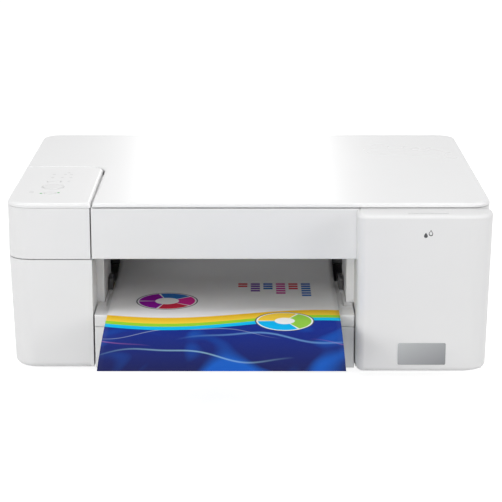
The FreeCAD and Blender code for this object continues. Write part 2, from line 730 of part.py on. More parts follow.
# ---------------------------------------------------------------- ink holder and cartridges
holder_back = 100.0
pitch = cell("cartridge_pitch")
slot = cell("cartridge_width") + 2 * cell("slot_play")
cartridge_low = floor_top + 14
holder = box(ink_left + 0.5, ink_right - 0.5, wall + 2.6, holder_back, inside_floor, lower_top - 11)
slots = []
for index in range(4):
    middle = ink_left + pitch * (index + 0.5) + 0.5
    slots.append(box(middle - slot / 2, middle + slot / 2, 0, holder_back - 4, cartridge_low - 0.5,
                     cartridge_low + cell("cartridge_height") + 4))
finish("ink_holder", cut(holder, *slots))
for index, colour in enumerate(("black", "yellow", "cyan", "magenta")):
    middle = ink_left + pitch * (index + 0.5) + 0.5
    half = cell("cartridge_width") / 2
    tank_top = cartridge_low + cell("cartridge_height")
    tank = box(middle - half, middle + half, 1, 1 + cell("cartridge_length"), cartridge_low, tank_top)
    grip = box(middle - half - 1, middle + half + 1, 1.01, 3.5, cartridge_low + 20, cartridge_low + 21.5)
    latch = box(middle - 5, middle + 5, 8, 40, tank_top - 0.1, tank_top + 2)
    grooves = [box(middle - half - 2, middle + half + 2, 0.9, 1.6, cartridge_low + z, cartridge_low + z + 1.5)
               for z in (8, 12, 16)]
    rounded = round_edges(tank, (1.5, lambda edge: edge.BoundBox.YLength > 10))
    finish(f"ink_cartridge_{colour}", cut(fuse(rounded, latch), grip, *grooves))

# ---------------------------------------------------------------- scanner unit
def upper_block(inset, z0, z1, extra=()):
    block = box(inset - half_width, half_width - inset, inset, depth - inset, z0, z1)
    return round_edges(block, (front_corner - inset, corner(0, -past, depth / 2)),
                       (back_corner - inset, corner(0, depth / 2, 2 * depth)), *extra)


panel_cut = 11.5   # how deep the front panel's recess is
front_left = panel_right + 0.2
front_right = mouth_right + 1.5
recess_left = front_left - cell("front_gap")
recess_right = front_right + 1
shell = cut(
    upper_block(wall * 0, upper_bottom, upper_top),
    upper_block(wall, upper_bottom + wall, upper_top + past),
    box(recess_left, recess_right, -past, panel_cut, upper_bottom - 1, upper_top + past),
    back_bevel(upper_bottom, 2.0, 1),
    back_bevel(upper_top, 4.4, -1),
)
recess_back = panel_cut + wall
shell_parts = [shell]
shell_parts.append(box(recess_left - wall, recess_right + wall, panel_cut, recess_back,
                       upper_bottom, upper_top))
shell_parts += [box(x, x + wall, wall - 0.5, recess_back, upper_bottom, upper_top)
                for x in (recess_left - wall, recess_right)]
glass_left = -cell("glass_left")
glass_front = cell("glass_front")
glass_right = glass_left + cell("glass_length")
glass_back = glass_front + cell("glass_width")
rod_y, rod_z, rod_r = 168.0, 119.0, 3.0
post_places = (glass_left - 20, glass_right + 9)
shell_parts += [box(x, x + 6, rod_y - 6, rod_y + 6, upper_bottom + wall - 0.1, rod_z + 5)
                for x in post_places]
lid_pivot_y = depth - cell("lid_pivot_in")
lid_pivot_z = lid_bottom - seam
lid_lugs = (-110.0, 150.0)
notches = []
for x in hinge_lugs:
    shell_parts.append(rod("x", x - lug_width / 2, pivot_y, split, lug_width, cell("scanner_lug")))
    for left in (x - lug_width / 2 - ear_gap - ear_width, x + lug_width / 2 + ear_gap):
        notches.append(box(left - 0.6, left + ear_width + 0.6, pivot_y - 5, depth + 1,
                           split - 5, split + 4.2))
    notches.append(rod("x", x - 15, pivot_y, split, 30, cell("scanner_pin")))
for x in lid_lugs:
    for left in (x - 8, x + 5):
        shell_parts.append(box(left, left + 3, lid_pivot_y - 2, lid_pivot_y + 0.4,
                               upper_top - 9, lid_pivot_z))
        shell_parts.append(rod("x", left, lid_pivot_y, lid_pivot_z, 3, cell("lid_ear")))
    notches.append(rod("x", x - 9, lid_pivot_y, lid_pivot_z, 18, cell("lid_pin")))
    notches.append(box(x - 4.6, x + 4.6, lid_pivot_y - 3.4, depth + 1, lid_pivot_z - 3.4, lid_pivot_z + 4))
notches += [rod("x", x - 1, rod_y, rod_z, 8, rod_r + play) for x in post_places]
finish("scanner_base", cut(fuse(*shell_parts), *notches))

pins = [rod("x", x - lug_width / 2 - ear_gap - ear_width, pivot_y, split,
            lug_width + 2 * (ear_gap + ear_width), cell("scanner_pin")) for x in hinge_lugs]
pins += [rod("x", x - 8, lid_pivot_y, lid_pivot_z, 16, cell("lid_pin")) for x in lid_lugs]
finish("hinge_pins", group(*pins))

front_top = upper_top - 0.3
plate_front = round_edges(box(front_left, front_right, 0, wall, upper_bottom, front_top),
                          (0.8, lambda edge: edge.BoundBox.YMax < 0.01))
returns = [box(front_left, front_right, wall - 0.1, panel_cut - 0.6, z, z + wall)
           for z in (upper_bottom, front_top - wall)]
finish("front_panel", fuse(plate_front, *returns))

lap = cell("glass_lap")
frame_edge = half_width - wall - 2
frame_low = upper_top - 3.2
bezel_front = recess_back + 0.5
frame_outline = [
    (-frame_edge, panel_depth + 3), (panel_right + 4, panel_depth + 3), (panel_right + 4, bezel_front),
    (frame_edge, bezel_front), (frame_edge, depth - 5), (-frame_edge, depth - 5),
]
frame_plate = round_edges(prism("XY", frame_outline, frame_low, upper_top - 0.2),
                          (12, corner(0, depth - 20, depth)))
window = box(glass_left, glass_right, glass_front, glass_back, frame_low - 1, upper_top + 1)
clear_ears = [box(x - 9, x + 9, lid_pivot_y - 4, depth, frame_low - 1, upper_top + 1) for x in lid_lugs]
finish("glass_frame", cut(frame_plate, window, *clear_ears))
glass_top = frame_low - 0.1
glass_low = glass_top - cell("glass_thickness")
finish("scanner_glass", box(glass_left - lap, glass_right + lap, glass_front - lap, glass_back + lap,
                            glass_low, glass_top))

scan_left = glass_left - 6
scan_bar = box(scan_left, scan_left + 16, glass_front - 12, glass_back + 12, 126, glass_low - 1)
bearing = box(scan_left - 3, scan_left + 19, rod_y - 8, rod_y + 8, 113, 126.1)
finish("scan_carriage", cut(fuse(scan_bar, bearing), rod("x", scan_left - 8, rod_y, rod_z, 34, rod_r + play)))
finish("scan_rod", rod("x", post_places[0], rod_y, rod_z, post_places[1] + 6 - post_places[0], rod_r))
scan_motor_x, scan_motor_y = glass_left - 53, 205.0
scan_motor_low = upper_bottom + wall + 0.2
finish("scan_motor", fuse(rod("z", scan_motor_x, scan_motor_y, scan_motor_low, 22, motor_radius),
                          rod("z", scan_motor_x, scan_motor_y, scan_motor_low + 20, 10, 1.5)))

# ---------------------------------------------------------------- control panel, board and buttons
button_line = panel_right - 40.3
start_place = (button_line, 68.6)
power_place = (button_line, 42.0)
mode_place = (button_line - 1.4, 92.0)
lamp_places = ((button_line - 8.1, 40.2), (button_line + 7.6, 42.8))
lamp_radius = 0.9
button_play = cell("button_play")
start_r = cell("start_radius")
power_r = cell("power_radius")
panel_middle = (panel_right - half_width) / 2


def outer_front(edge):
    """The panel's upright edge at the object's left front corner."""
    middle = edge.BoundBox.Center
    return upright(edge) and middle.x < float(panel_middle) and middle.y < 5


def inner_back(edge):
    """The panel's upright edge at the lid's step."""
    middle = edge.BoundBox.Center
    return upright(edge) and middle.x > float(panel_middle) and middle.y > 100


panel_block = box(-half_width, panel_right, 0, panel_depth, upper_top + 0.3, lid_top)
panel_edges = round_edges(panel_block, (front_corner, outer_front), (cell("panel_corner"), inner_back))
panel_edges = round_edges(panel_edges, (cell("lid_round"), level(lid_top)))
mode_half = 6.0
mode_deep = 2.6


def mode_bar(margin, z0, z1):
    """The mode button's outline between two heights, drawn out all round by a margin."""
    reach_x, reach_y = mode_half + margin, mode_deep + margin
    return box(mode_place[0] - reach_x, mode_place[0] + reach_x,
               mode_place[1] - reach_y, mode_place[1] + reach_y, z0, z1)


panel_holes = [
    rod("z", *start_place, lid_bottom - 2, 10, start_r + button_play),
    rod("z", *power_place, lid_bottom - 2, 10, power_r + button_play),
    mode_bar(button_play, lid_bottom - 2, lid_top + 2),
    box(4 - half_width, panel_right - 4, 18, panel_depth - 6, lid_bottom - 1, lid_top - cell("lid_skin")),
]
panel_holes += [rod("z", *lamp, lid_bottom - 2, 10, lamp_radius + 0.2) for lamp in lamp_places]
# a lip under the gap beside the lid keeps dust out of the scanner unit
lip_back = panel_depth - cell("panel_corner")
lip = fuse(box(panel_right - 1.5, panel_right + 3.4, bezel_front, lip_back, upper_top - 2, upper_top - 0.2),
           box(panel_right - 1.5, panel_right, bezel_front, lip_back, upper_top - 2, lid_bottom + 0.5))
finish("control_panel", fuse(cut(panel_edges, *panel_holes), lip))
button_low = lid_bottom - 0.6
button_high = lid_top + 0.3
finish("start_button", round_edges(rod("z", *start_place, button_low, button_high - button_low, start_r),
                                   (0.5, level(button_high))))
finish("power_button", round_edges(rod("z", *power_place, button_low, button_high - button_low, power_r),
                                   (0.5, level(button_high))))
finish("mode_button", round_edges(mode_bar(0, button_low, button_high), (0.5, level(button_high))))
board_high = button_low - 5
switches = [box(x - 3, x + 3, y - 3, y + 3, board_high - 0.1, button_low - 1.4)
            for x, y in (start_place, power_place, mode_place)]
lamps = [rod("z", *lamp, board_high - 0.1, lid_top - board_high - 0.1, lamp_radius) for lamp in lamp_places]
board = box(5.5 - half_width, panel_right - 8.7, 24, 150, board_high - 1.6, board_high)
finish("control_board", fuse(board, *switches, *lamps))

# ---------------------------------------------------------------- lid
lid_left = panel_right + panel_gap
lid_step = panel_depth + 0.6


def lid_block(inset, z0, z1):
    outline = [
        (inset - half_width, lid_step + inset), (lid_left + inset, lid_step + inset),
        (lid_left + inset, inset), (half_width - inset, inset),
        (half_width - inset, depth - inset), (inset - half_width, depth - inset),
    ]
    return prism("XY", outline, z0, z1)


def at_step(edge):
    """The lid's inside corner, round which the control panel's own corner sits."""
    middle = edge.BoundBox.Center
    return upright(edge) and float(panel_middle) < middle.x < 0 and 100 < middle.y < 200


lid_plate = round_edges(lid_block(wall * 0, lid_bottom, lid_top),
                        (front_corner - 2, corner(1, -past, 20)),
                        (back_corner, corner(0, depth - 20, depth + 5)),
                        (cell("panel_corner") + 1, at_step))
lid_plate = round_edges(lid_plate, (cell("lid_round"), level(lid_top)))
lid_hollow = round_edges(lid_block(cell("lid_rim"), lid_bottom - 1, lid_top - cell("lid_skin")),
                         (front_corner - 5, corner(1, -past, 20)),
                         (back_corner - 3, corner(0, depth - 20, depth + 5)),
                         (cell("panel_corner") + 4, at_step))
lid_tools = [lid_hollow]
lid_adds = []
for x in lid_lugs:
    lid_tools.append(box(x - 9, x + 9, lid_pivot_y - 4, depth + 1,
                         lid_bottom - 1, lid_top - cell("lid_skin") + 0.1))
    lid_adds.append(rod("x", x - 4, lid_pivot_y, lid_pivot_z, 8, cell("lid_lug")))
    lid_adds.append(box(x - 4, x + 4, lid_pivot_y - 1.6, depth - 0.4, lid_pivot_z, lid_top - 1))
lid_adds.append(cut(lid_plate, *lid_tools))
lid_bores = [rod("x", x - 5, lid_pivot_y, lid_pivot_z, 10, cell("lid_pin") + play) for x in lid_lugs]
finish("lid", cut(fuse(*lid_adds), *lid_bores))
liner_high = lid_top - cell("lid_skin") - 0.05
liner = box(lid_left + 6, half_width - 12, 24, depth - 14, upper_top + 0.15, liner_high)
finish("lid_liner", round_edges(liner, (8, upright)))

# ---------------------------------------------------------------- ink cover
cover_left = cell("cover_left")
cover_low = cell("cover_bottom")
cover_high = lid_bottom - 1.2
cover_back = -cell("cover_gap")
lean = cell("cover_lean")


def cover_block(inset, back, z0, z1):
    low = (cover_left + inset, half_width - lean - inset, cover_front + lean + inset, back)
    high = (cover_left + inset, half_width - inset, cover_front + inset, back)
    return tapered(low, high, z0, z1)


def cover_rules(inset):
    def right_front(edge):
        middle = edge.BoundBox.Center
        return upright(edge) and middle.x > 150 and middle.y < float(cover_back) - 5

    def left_front(edge):
        middle = edge.BoundBox.Center
        return upright(edge) and middle.x < 150 and middle.y < float(cover_back) - 5
    return [(front_corner - inset, right_front), (7.5 - inset, left_front)]


def away_from_back(edge):
    return edge.BoundBox.Center.y < float(cover_back) - 0.5


cover_outside = round_edges(cover_block(wall * 0, cover_back, cover_low, cover_high), *cover_rules(0))
cover_outside = round_edges(cover_outside, (3.5, both(level(cover_high), away_from_back)),
                            (4.5, both(level(cover_low), away_from_back)))
cover_inside = round_edges(cover_block(wall, cover_back + past, cover_low + wall, cover_high - wall),
                           *cover_rules(wall))
grip_slot = box(140.5, 176.6, -19.6, -17.8, cover_high - wall - 2, cover_high + 2)
cover_tools = [cover_inside, grip_slot]
for x in cover_arms:
    cover_tools.append(box(x - 0.8, x + arm_width + 0.8, cover_pivot_y - 4.4, cover_back + 1, cover_low - 1,
                           cover_low + wall + 2))
cover_pins = [
    rod("x", cover_left + wall - 0.5, cover_pivot_y, cover_pivot_z,
        cover_arms[0] + arm_width - cover_left - wall + 0.5, cover_pin),
    rod("x", cover_arms[1] - 0.6, cover_pivot_y, cover_pivot_z, arm_width + 10.4, cover_pin),
]
finish("ink_cover", fuse(cut(cover_outside, *cover_tools), *cover_pins))

# ---------------------------------------------------------------- paper tray, its cover and its guides
clear = cell("tray_clear")
tray_left = -cell("tray_left")
tray_right = cell("tray_right")
body_left = mouth_left + mouth_step + clear
body_right = mouth_right - mouth_step - clear
tray_floor = cell("tray_floor")
tray_wall_top = cell("tray_wall_top")
tray_length = cell("tray_length")
tray_block = cell("tray_block")
tray_seam = cell("tray_seam")
front_low = case_bottom + 0.4
front_high = cell("tray_front_height")
tray_outer = fuse(box(body_left, body_right, 10, tray_length, tray_floor, tray_wall_top),
                  box(tray_left, tray_right, 0.01, 13, front_low, front_high - tray_seam),
                  box(tray_left, tray_right, 12.9, tray_block, tray_floor, tray_wall_top))
tray_hollow = box(body_left + wall, body_right - wall, wall + 1, tray_length - wall,
                  tray_floor + wall, front_high + 5)
front_hollow = box(tray_left + wall, tray_right - wall, wall + 1, 10, tray_floor + wall, front_high + 5)
side_gaps = [box(x0, x1, wall + 9, tray_block - wall, tray_floor + wall, front_high + 5)
             for x0, x1 in ((tray_left + wall, body_left - 0.1), (body_right + 0.1, tray_right - wall))]
low_back = box(body_left - 1, body_right + 1, tray_length - wall - 1, tray_length + 1,
               tray_wall_top - 4, tray_wall_top + 1)
tray_shape = cut(tray_outer, tray_hollow, front_hollow, *side_gaps, low_back)
guide_y = 180.0
guide_axis = (float(cell("sheet_centre")), guide_y)
tray_round = round_edges(tray_shape, (1.2, lambda edge: upright(edge) and edge.BoundBox.Center.y < 0.5))
pinion_post = rod("z", *guide_axis, tray_floor + wall - 0.1, 4.2, 2)
ramp_back = tray_length - wall + 0.1
ramp_low = tray_floor + wall - 0.1
ramp = prism("YZ", [(tray_length - 12, ramp_low), (ramp_back, ramp_low), (ramp_back, tray_wall_top - 5)],
             body_left + wall + 30, body_right - wall - 30)
finish("paper_tray", fuse(tray_round, pinion_post, ramp))

cover_top = cell("tray_cover_top")
cover_skirt = front_high
under_cover = cover_top - wall
cover_shape = fuse(box(tray_left, tray_right, 0, tray_block, cover_skirt, cover_top),
                   box(body_left, body_right, tray_block - 1, 118, cover_skirt, cover_top))
cover_hollow = fuse(
    box(tray_left + wall, tray_right - wall, wall, tray_block - wall, cover_skirt - 1, under_cover),
    box(body_left + wall, body_right - wall, tray_block - wall - 1, 120, cover_skirt - 1, under_cover))
tray_cover = round_edges(cut(cover_shape, cover_hollow), (1.2, lambda edge: edge.BoundBox.YMax < 0.01))
groove = box(tray_left - 1, tray_right + 1, 30, 31, cover_top - 0.6, cover_top + 1)
slits = [box(x, x + 1.6, 31, 80, cover_top - 1.2, cover_top + 1) for x in (body_left + 2.2, body_right - 3.8)]
finish("tray_cover", cut(tray_cover, groove, *slits))

guide_left = cell("sheet_centre") - cell("sheet_width") / 2 - 0.5 - cell("guide_thickness")
guide_right = cell("sheet_centre") + cell("sheet_width") / 2 + 0.5
guide_high = cell("guide_height")
rack_low = tray_floor + wall + 0.3
rack_high = rack_low + 2.6
guide_pitch = 8.0
guide_teeth = 16
tooth_pitch = 2 * math.pi * guide_pitch / guide_teeth


def rack(side, x0, x1):
    """A toothed bar beside the guide pinion: its teeth face the pinion, with a gap on the pinion's axis."""
    line = guide_y + side * guide_pitch
    points = [Vector(x0, line + side * 4, float(rack_low)), Vector(x0, line + side * 1.3, float(rack_low))]
    first = math.ceil((x0 + 1.6 - guide_axis[0]) / tooth_pitch - 0.5)
    last = math.floor((x1 - 1.6 - guide_axis[0]) / tooth_pitch - 0.5)
    for tooth in range(first, last + 1):
        middle = guide_axis[0] + (tooth + 0.5) * tooth_pitch
        for across, height in ((-0.30, 1.3), (-0.12, -0.8), (0.12, -0.8), (0.30, 1.3)):
            points.append(Vector(middle + across * tooth_pitch, line + side * height, float(rack_low)))
    points += [Vector(x1, line + side * 1.3, float(rack_low)), Vector(x1, line + side * 4, float(rack_low))]
    outline = Part.Face(Part.makePolygon(points + points[:1]))
    return drawn(outline.extrude(Vector(0, 0, float(rack_high - rack_low))))


def width_guide(x, side, far_end):
    """A blade beside the paper, joined to its rack through a foot."""
    thickness = cell("guide_thickness")
    blade = box(x, x + thickness, guide_y - 34, guide_y + 34, rack_high + 0.3, guide_high)
    line = guide_y + side * (guide_pitch + 1.6)
    foot_y = (line, line + side * 2.2)
    foot = box(x, x + thickness, min(foot_y), max(foot_y), rack_low, rack_high + 1)
    start = float(x) + (0.2 if side > 0 else 1.8)
    return fuse(blade, foot, rack(side, min(start, far_end), max(start, far_end)))


finish("width_guide_left", width_guide(guide_left, 1, guide_axis[0] + 12))
finish("width_guide_right", width_guide(guide_right, -1, guide_axis[0] - 12))


guide_centre = Vector(*guide_axis, float(rack_low))
finish("guide_pinion", toothed_disc(guide_centre, guide_teeth, 0.0, rack_high - rack_low, 2 + play,
                                    upright_axis=True))
length_blade = box(guide_axis[0] - 18, guide_axis[0] + 18, 9, 11, rack_low, guide_high - 4)
length_foot = box(guide_axis[0] - 14, guide_axis[0] + 14, 10.9, 30, rack_low, rack_low + 1.5)
finish("length_guide", fuse(length_blade, length_foot))

# ---------------------------------------------------------------- printed sheet in the mouth
sheet_rest = cover_top + 1.1
front_bend = float(cell("front_bend"))
back_bend = float(cell("back_bend"))
overhang = float(cell("sheet_overhang"))
sheet_flat = float(cell("sheet_flat"))
sheet_end = float(cell("sheet_end"))


def sheet_line(lift):
    """The sheet's side view: a droop in front of the tray, a flat stretch, and a rise to the rollers."""
    x, z = float(cell("sheet_centre") - cell("sheet_width") / 2), float(sheet_rest) + lift
    droop_radius = front_bend + lift
    turn = math.asin(overhang / front_bend)
    droop = [Vector(x, -droop_radius * math.sin(share * turn),
                    z - droop_radius * (1 - math.cos(share * turn))) for share in (1, 0.5, 0)]
    rise_radius = back_bend - lift
    lift_turn = math.asin((sheet_end - sheet_flat) / back_bend)
    rise = [Vector(x, sheet_flat + rise_radius * math.sin(share * lift_turn),
                   z + rise_radius * (1 - math.cos(share * lift_turn))) for share in (0, 0.5, 1)]
    return droop, rise


low_droop, low_rise = sheet_line(0.0)
high_droop, high_rise = sheet_line(float(cell("sheet_thickness")))
sheet_edges = [
    Part.Arc(*low_droop).toShape(), Part.makeLine(low_droop[2], low_rise[0]), Part.Arc(*low_rise).toShape(),
    Part.makeLine(low_rise[2], high_rise[2]), Part.Arc(*reversed(high_rise)).toShape(),
    Part.makeLine(high_rise[0], high_droop[2]), Part.Arc(*reversed(high_droop)).toShape(),
    Part.makeLine(high_droop[0], low_droop[0]),
]
sheet_body = Part.Face(Part.Wire(sheet_edges)).extrude(Vector(float(cell("sheet_width")), 0, 0))
finish("printed_sheet", drawn(sheet_body))

# ---------------------------------------------------------------- checks and files
doc.recompute()
faults = [f"{item.Label}: {item.State}" for item in doc.Objects if {"Invalid", "Error"} & set(item.State)]
for item in nodes:
    if item.Shape.isNull() or not item.Shape.isValid() or not item.Shape.Solids:
        faults.append(f"{item.Label}: its shape is empty or not valid")
if faults:
    raise RuntimeError("; ".join(faults))
for item in nodes:
    item.Shape.exportStep(f"parts/{item.Label}.step")
    print(item.Label, len(item.Shape.Solids), round(item.Shape.Volume))
print(len(nodes), "sub-parts")
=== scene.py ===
import json
import math

import bmesh
import bpy
import numpy as np
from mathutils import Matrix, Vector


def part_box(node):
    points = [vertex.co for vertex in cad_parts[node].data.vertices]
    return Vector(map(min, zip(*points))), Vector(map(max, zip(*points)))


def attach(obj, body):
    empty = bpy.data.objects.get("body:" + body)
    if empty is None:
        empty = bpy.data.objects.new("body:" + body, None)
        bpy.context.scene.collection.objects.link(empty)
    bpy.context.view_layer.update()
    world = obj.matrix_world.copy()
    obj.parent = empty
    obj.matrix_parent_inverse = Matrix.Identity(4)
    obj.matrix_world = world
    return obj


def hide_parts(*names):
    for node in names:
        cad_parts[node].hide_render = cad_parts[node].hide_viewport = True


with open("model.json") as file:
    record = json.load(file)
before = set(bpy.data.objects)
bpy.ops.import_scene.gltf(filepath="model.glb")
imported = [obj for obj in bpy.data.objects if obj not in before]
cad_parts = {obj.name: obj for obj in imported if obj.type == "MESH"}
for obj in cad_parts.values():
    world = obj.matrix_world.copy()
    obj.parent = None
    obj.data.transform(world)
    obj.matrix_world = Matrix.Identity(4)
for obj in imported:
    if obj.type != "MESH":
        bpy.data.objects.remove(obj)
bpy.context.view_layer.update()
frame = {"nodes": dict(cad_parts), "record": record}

# ---------------------------------------------------------------- camera
# A studio camera with a long lens. It stands in front of the printer at shoulder height and looks
# down on the lid and on the sheet in the output mouth.
mm = 0.001
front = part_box("front_panel")[0].y   # the plane of the casing's front faces
scene = bpy.context.scene
scene.view_settings.view_transform = "Standard"
camera_data = bpy.data.cameras.new("camera")
camera_data.sensor_width = 36
camera_data.lens = 130.4
camera = bpy.data.objects.new("camera", camera_data)
camera.location = (2.04 * mm, front - 1581.3 * mm, 516.4 * mm)
camera.rotation_euler = (math.radians(90 - 14.245), 0, 0)
scene.collection.objects.link(camera)
scene.camera = camera


# ---------------------------------------------------------------- floor, daylight and lamps
# A white studio sweep: the floor takes the printer's soft shadow, and the air round it is plain white.
# Broad lamps hang overhead and stand in front, at both sides and low behind the printer.
def add(tree, kind, inputs=None, **settings):
    """Adds a shader node; an input given as a socket is joined to it, any other is set."""
    item = tree.nodes.new("ShaderNode" + kind)
    for key, value in settings.items():
        setattr(item, key, value)
    for key, value in (inputs or {}).items():
        if isinstance(value, bpy.types.NodeSocket):
            tree.links.new(value, item.inputs[key])
        else:
            item.inputs[key].default_value = value
    return item


def seen_directly(tree):
    """1 for rays that meet a surface from the camera, a mirror or a pane of glass; 0 for diffuse light."""
    path = add(tree, "LightPath")
    mirrored = add(tree, "Math", {0: path.outputs["Is Camera Ray"], 1: path.outputs["Is Glossy Ray"]},
                   operation="MAXIMUM")
    return add(tree, "Math", {0: mirrored.outputs[0], 1: path.outputs["Is Transmission Ray"]},
               operation="MAXIMUM").outputs[0]


white = (1, 1, 1, 1)
daylight_strength = 0.33
floor_glow = 0.84
floor_paint = (0.62, 0.62, 0.62, 1)

world = bpy.data.worlds.new("studio_air")
world.use_nodes = True
scene.world = world
air = world.node_tree
air.nodes.clear()
soft_air = add(air, "Background", {"Color": white, "Strength": daylight_strength})
white_air = add(air, "Background", {"Color": white, "Strength": 1.0})
air_mix = add(air, "MixShader", {0: seen_directly(air), 1: soft_air.outputs[0], 2: white_air.outputs[0]})
add(air, "OutputWorld", {0: air_mix.outputs[0]})

sweep = bpy.data.materials.new("studio_sweep")
sweep.use_nodes = True
sweep_tree = sweep.node_tree
sweep_tree.nodes.clear()
paint = add(sweep_tree, "BsdfDiffuse", {"Color": floor_paint})
glow = add(sweep_tree, "Emission", {"Color": white, "Strength": floor_glow})
glow_part = add(sweep_tree, "MixShader", {0: seen_directly(sweep_tree), 2: glow.outputs[0]})
both_parts = add(sweep_tree, "AddShader", {0: paint.outputs[0], 1: glow_part.outputs[0]})
add(sweep_tree, "OutputMaterial", {0: both_parts.outputs[0]})

floor_half = 12.0
floor_mesh = bpy.data.meshes.new("studio_floor")
floor_mesh.from_pydata([(-floor_half, -floor_half, 0), (floor_half, -floor_half, 0), (floor_half, floor_half, 0),
                        (-floor_half, floor_half, 0)], [], [(0, 1, 2, 3)])
floor_mesh.materials.append(sweep)
studio_floor = bpy.data.objects.new("studio_floor", floor_mesh)
scene.collection.objects.link(studio_floor)


def softbox(name, place, aim, width, height, level):
    """A square lamp that gives its level, as a share of full white, to a surface that faces it at its aim."""
    reach = math.dist(place, aim)
    data = bpy.data.lights.new(name, "AREA")
    data.shape = "RECTANGLE"
    data.size, data.size_y = width, height
    data.energy = level * (math.pi * reach) ** 2
    lamp = bpy.data.objects.new(name, data)
    lamp.location = place
    direction = [goal - start for goal, start in zip(aim, place)]
    lamp.rotation_euler = (math.pi / 2 + math.atan2(direction[2], math.hypot(direction[0], direction[1])), 0,
                           math.atan2(-direction[0], direction[1]))
    scene.collection.objects.link(lamp)
    return lamp


softbox("overhead_lamp", (0.0, -0.3, 2.0), (0, 0, 0.1), 1.6, 1.2, 0.42)
softbox("back_lamp", (-0.04, 2.6, 0.95), (0, 0, 0.16), 0.4, 0.8, 0.05)
softbox("low_front_lamp", (-0.7, -2.6, 0.5), (0, 0, 0.08), 1.5, 0.6, 0.26)
softbox("left_lamp", (-1.7, -1.0, 0.8), (0, 0, 0.1), 0.9, 1.0, 0.24)
softbox("right_lamp", (1.9, -0.8, 0.8), (0, 0, 0.1), 0.9, 1.0, 0.30)


# ---------------------------------------------------------------- lower casing
# The white shell that stands on the table, moulded in ABS with a fine satin grain. Its wall is one
# piece with the cheeks of the output mouth and the hinge ears; the mould's edges are barely broken.
class Field:
    """A number that changes over a surface, so that a pattern can be written as a formula."""

    def __init__(self, tree, socket):
        self.tree, self.socket = tree, socket

    def math(self, operation, *others):
        inputs = {0: self.socket}
        for index, other in enumerate(others, start=1):
            inputs[index] = other.socket if isinstance(other, Field) else other
        return Field(self.tree, add(self.tree, "Math", inputs, operation=operation).outputs[0])

    def __add__(self, other):
        return self.math("ADD", other)

    def __sub__(self, other):
        return self.math("SUBTRACT", other)

    def __mul__(self, other):
        return self.math("MULTIPLY", other)

    def __truediv__(self, other):
        return self.math("DIVIDE", other)

    def __abs__(self):
        return self.math("ABSOLUTE")

    def span(self, low, high, at_low=0.0, at_high=1.0):
        """Runs from one value to another while the number goes from low to high, and holds past both."""
        inputs = {0: self.socket}
        for index, value in enumerate((low, high, at_low, at_high), start=1):
            inputs[index] = value.socket if isinstance(value, Field) else value
        return Field(self.tree, add(self.tree, "MapRange", inputs).outputs[0])

    def below(self, limit, blur):
        """A mask: 1 where the number is under the limit, with a soft edge."""
        return (self - limit).span(-blur, blur, 1.0, 0.0)


def blank_material(name):
    material = bpy.data.materials.new(name)
    material.use_nodes = True
    material.node_tree.nodes.clear()
    return material, material.node_tree


def object_place(tree, scale=(1, 1, 1)):
    """Object coordinates in metres, stretched along each axis."""
    place = add(tree, "TexCoord")
    return add(tree, "Mapping", {"Vector": place.outputs["Object"], "Scale": scale}).outputs[0]


def noise(tree, size, detail=2.0, stretch=(1, 1, 1)):
    """Cloudy noise from 0 to 1, whose lumps are about as large as size, in metres."""
    inputs = {"Vector": object_place(tree, stretch), "Scale": 1 / size, "Detail": detail}
    return Field(tree, add(tree, "TexNoise", inputs).outputs["Fac"])


def mix_colour(tree, amount, first, second):
    inputs = {0: amount.socket if isinstance(amount, Field) else amount, 6: first, 7: second}
    return add(tree, "Mix", inputs, data_type="RGBA").outputs[2]


def shade(colour, factor):
    return tuple(part * factor for part in colour[:3]) + (1,)


def relief(tree, height, depth, strength=1.0, edge=0.0):
    """A surface normal bent by a height field of a given depth, over softly broken edges."""
    inputs = {"Strength": strength, "Distance": depth, "Height": height.socket}
    if edge:
        inputs["Normal"] = add(tree, "Bevel", {"Radius": edge}, samples=4).outputs[0]
    return add(tree, "Bump", inputs).outputs[0]


def moulded(name, colour, roughness, grain, depth, edge=0.0004, cloud=0.015, **shader):
    """Injection-moulded plastic: a fine spark-eroded grain, faint clouds in its colour and its sheen."""
    material, tree = blank_material(name)
    clouds = noise(tree, 0.09, 3.0)
    tone = mix_colour(tree, clouds, shade(colour, 1 - cloud), shade(colour, 1 + cloud))
    sheen = clouds.span(0.3, 0.7, roughness - 0.03, roughness + 0.03)
    inputs = {"Base Color": tone, "Roughness": sheen.socket,
              "Normal": relief(tree, noise(tree, grain, 1.0), depth, 0.35, edge)}
    inputs.update(shader)
    surface = add(tree, "BsdfPrincipled", inputs)
    add(tree, "OutputMaterial", {0: surface.outputs[0]})
    return material


record = frame["record"]
body_of = {node: body for body, nodes in record["behaviour"]["bodies"].items() for node in nodes}


def keep(name, mesh, body, material):
    """Puts a finished mesh into the scene, riding on a body."""
    piece = bpy.data.objects.new(name, mesh)
    scene.collection.objects.link(piece)
    mesh.materials.append(material)
    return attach(piece, body)


def refined(node, material, crease=30):
    """A copy of a CAD mesh with its loose triangles joined, smooth over every turn under the crease angle."""
    mesh = bpy.data.meshes.new(node + "_shell")
    work = bmesh.new()
    work.from_mesh(frame["nodes"][node].data)
    bmesh.ops.remove_doubles(work, verts=work.verts, dist=2e-6)
    bmesh.ops.dissolve_degenerate(work, edges=work.edges, dist=2e-6)
    for face in work.faces:
        face.smooth = True
    for line in work.edges:
        line.smooth = len(line.link_faces) == 2 and line.calc_face_angle(math.pi) < math.radians(crease)
    work.to_mesh(mesh)
    work.free()
    piece = keep(node + "_shell", mesh, body_of[node], material)
    weigh = piece.modifiers.new("even_normals", "WEIGHTED_NORMAL")
    weigh.keep_sharp = True
    weigh.weight = 80
    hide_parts(node)
    return piece


def dress(material, *nodes):
    """Gives CAD nodes, whose shape is right as it is, a finish."""
    for name in nodes:
        item = frame["nodes"][name]
        if not item.material_slots:
            item.data.materials.append(material)
        for place in item.material_slots:
            place.material = material


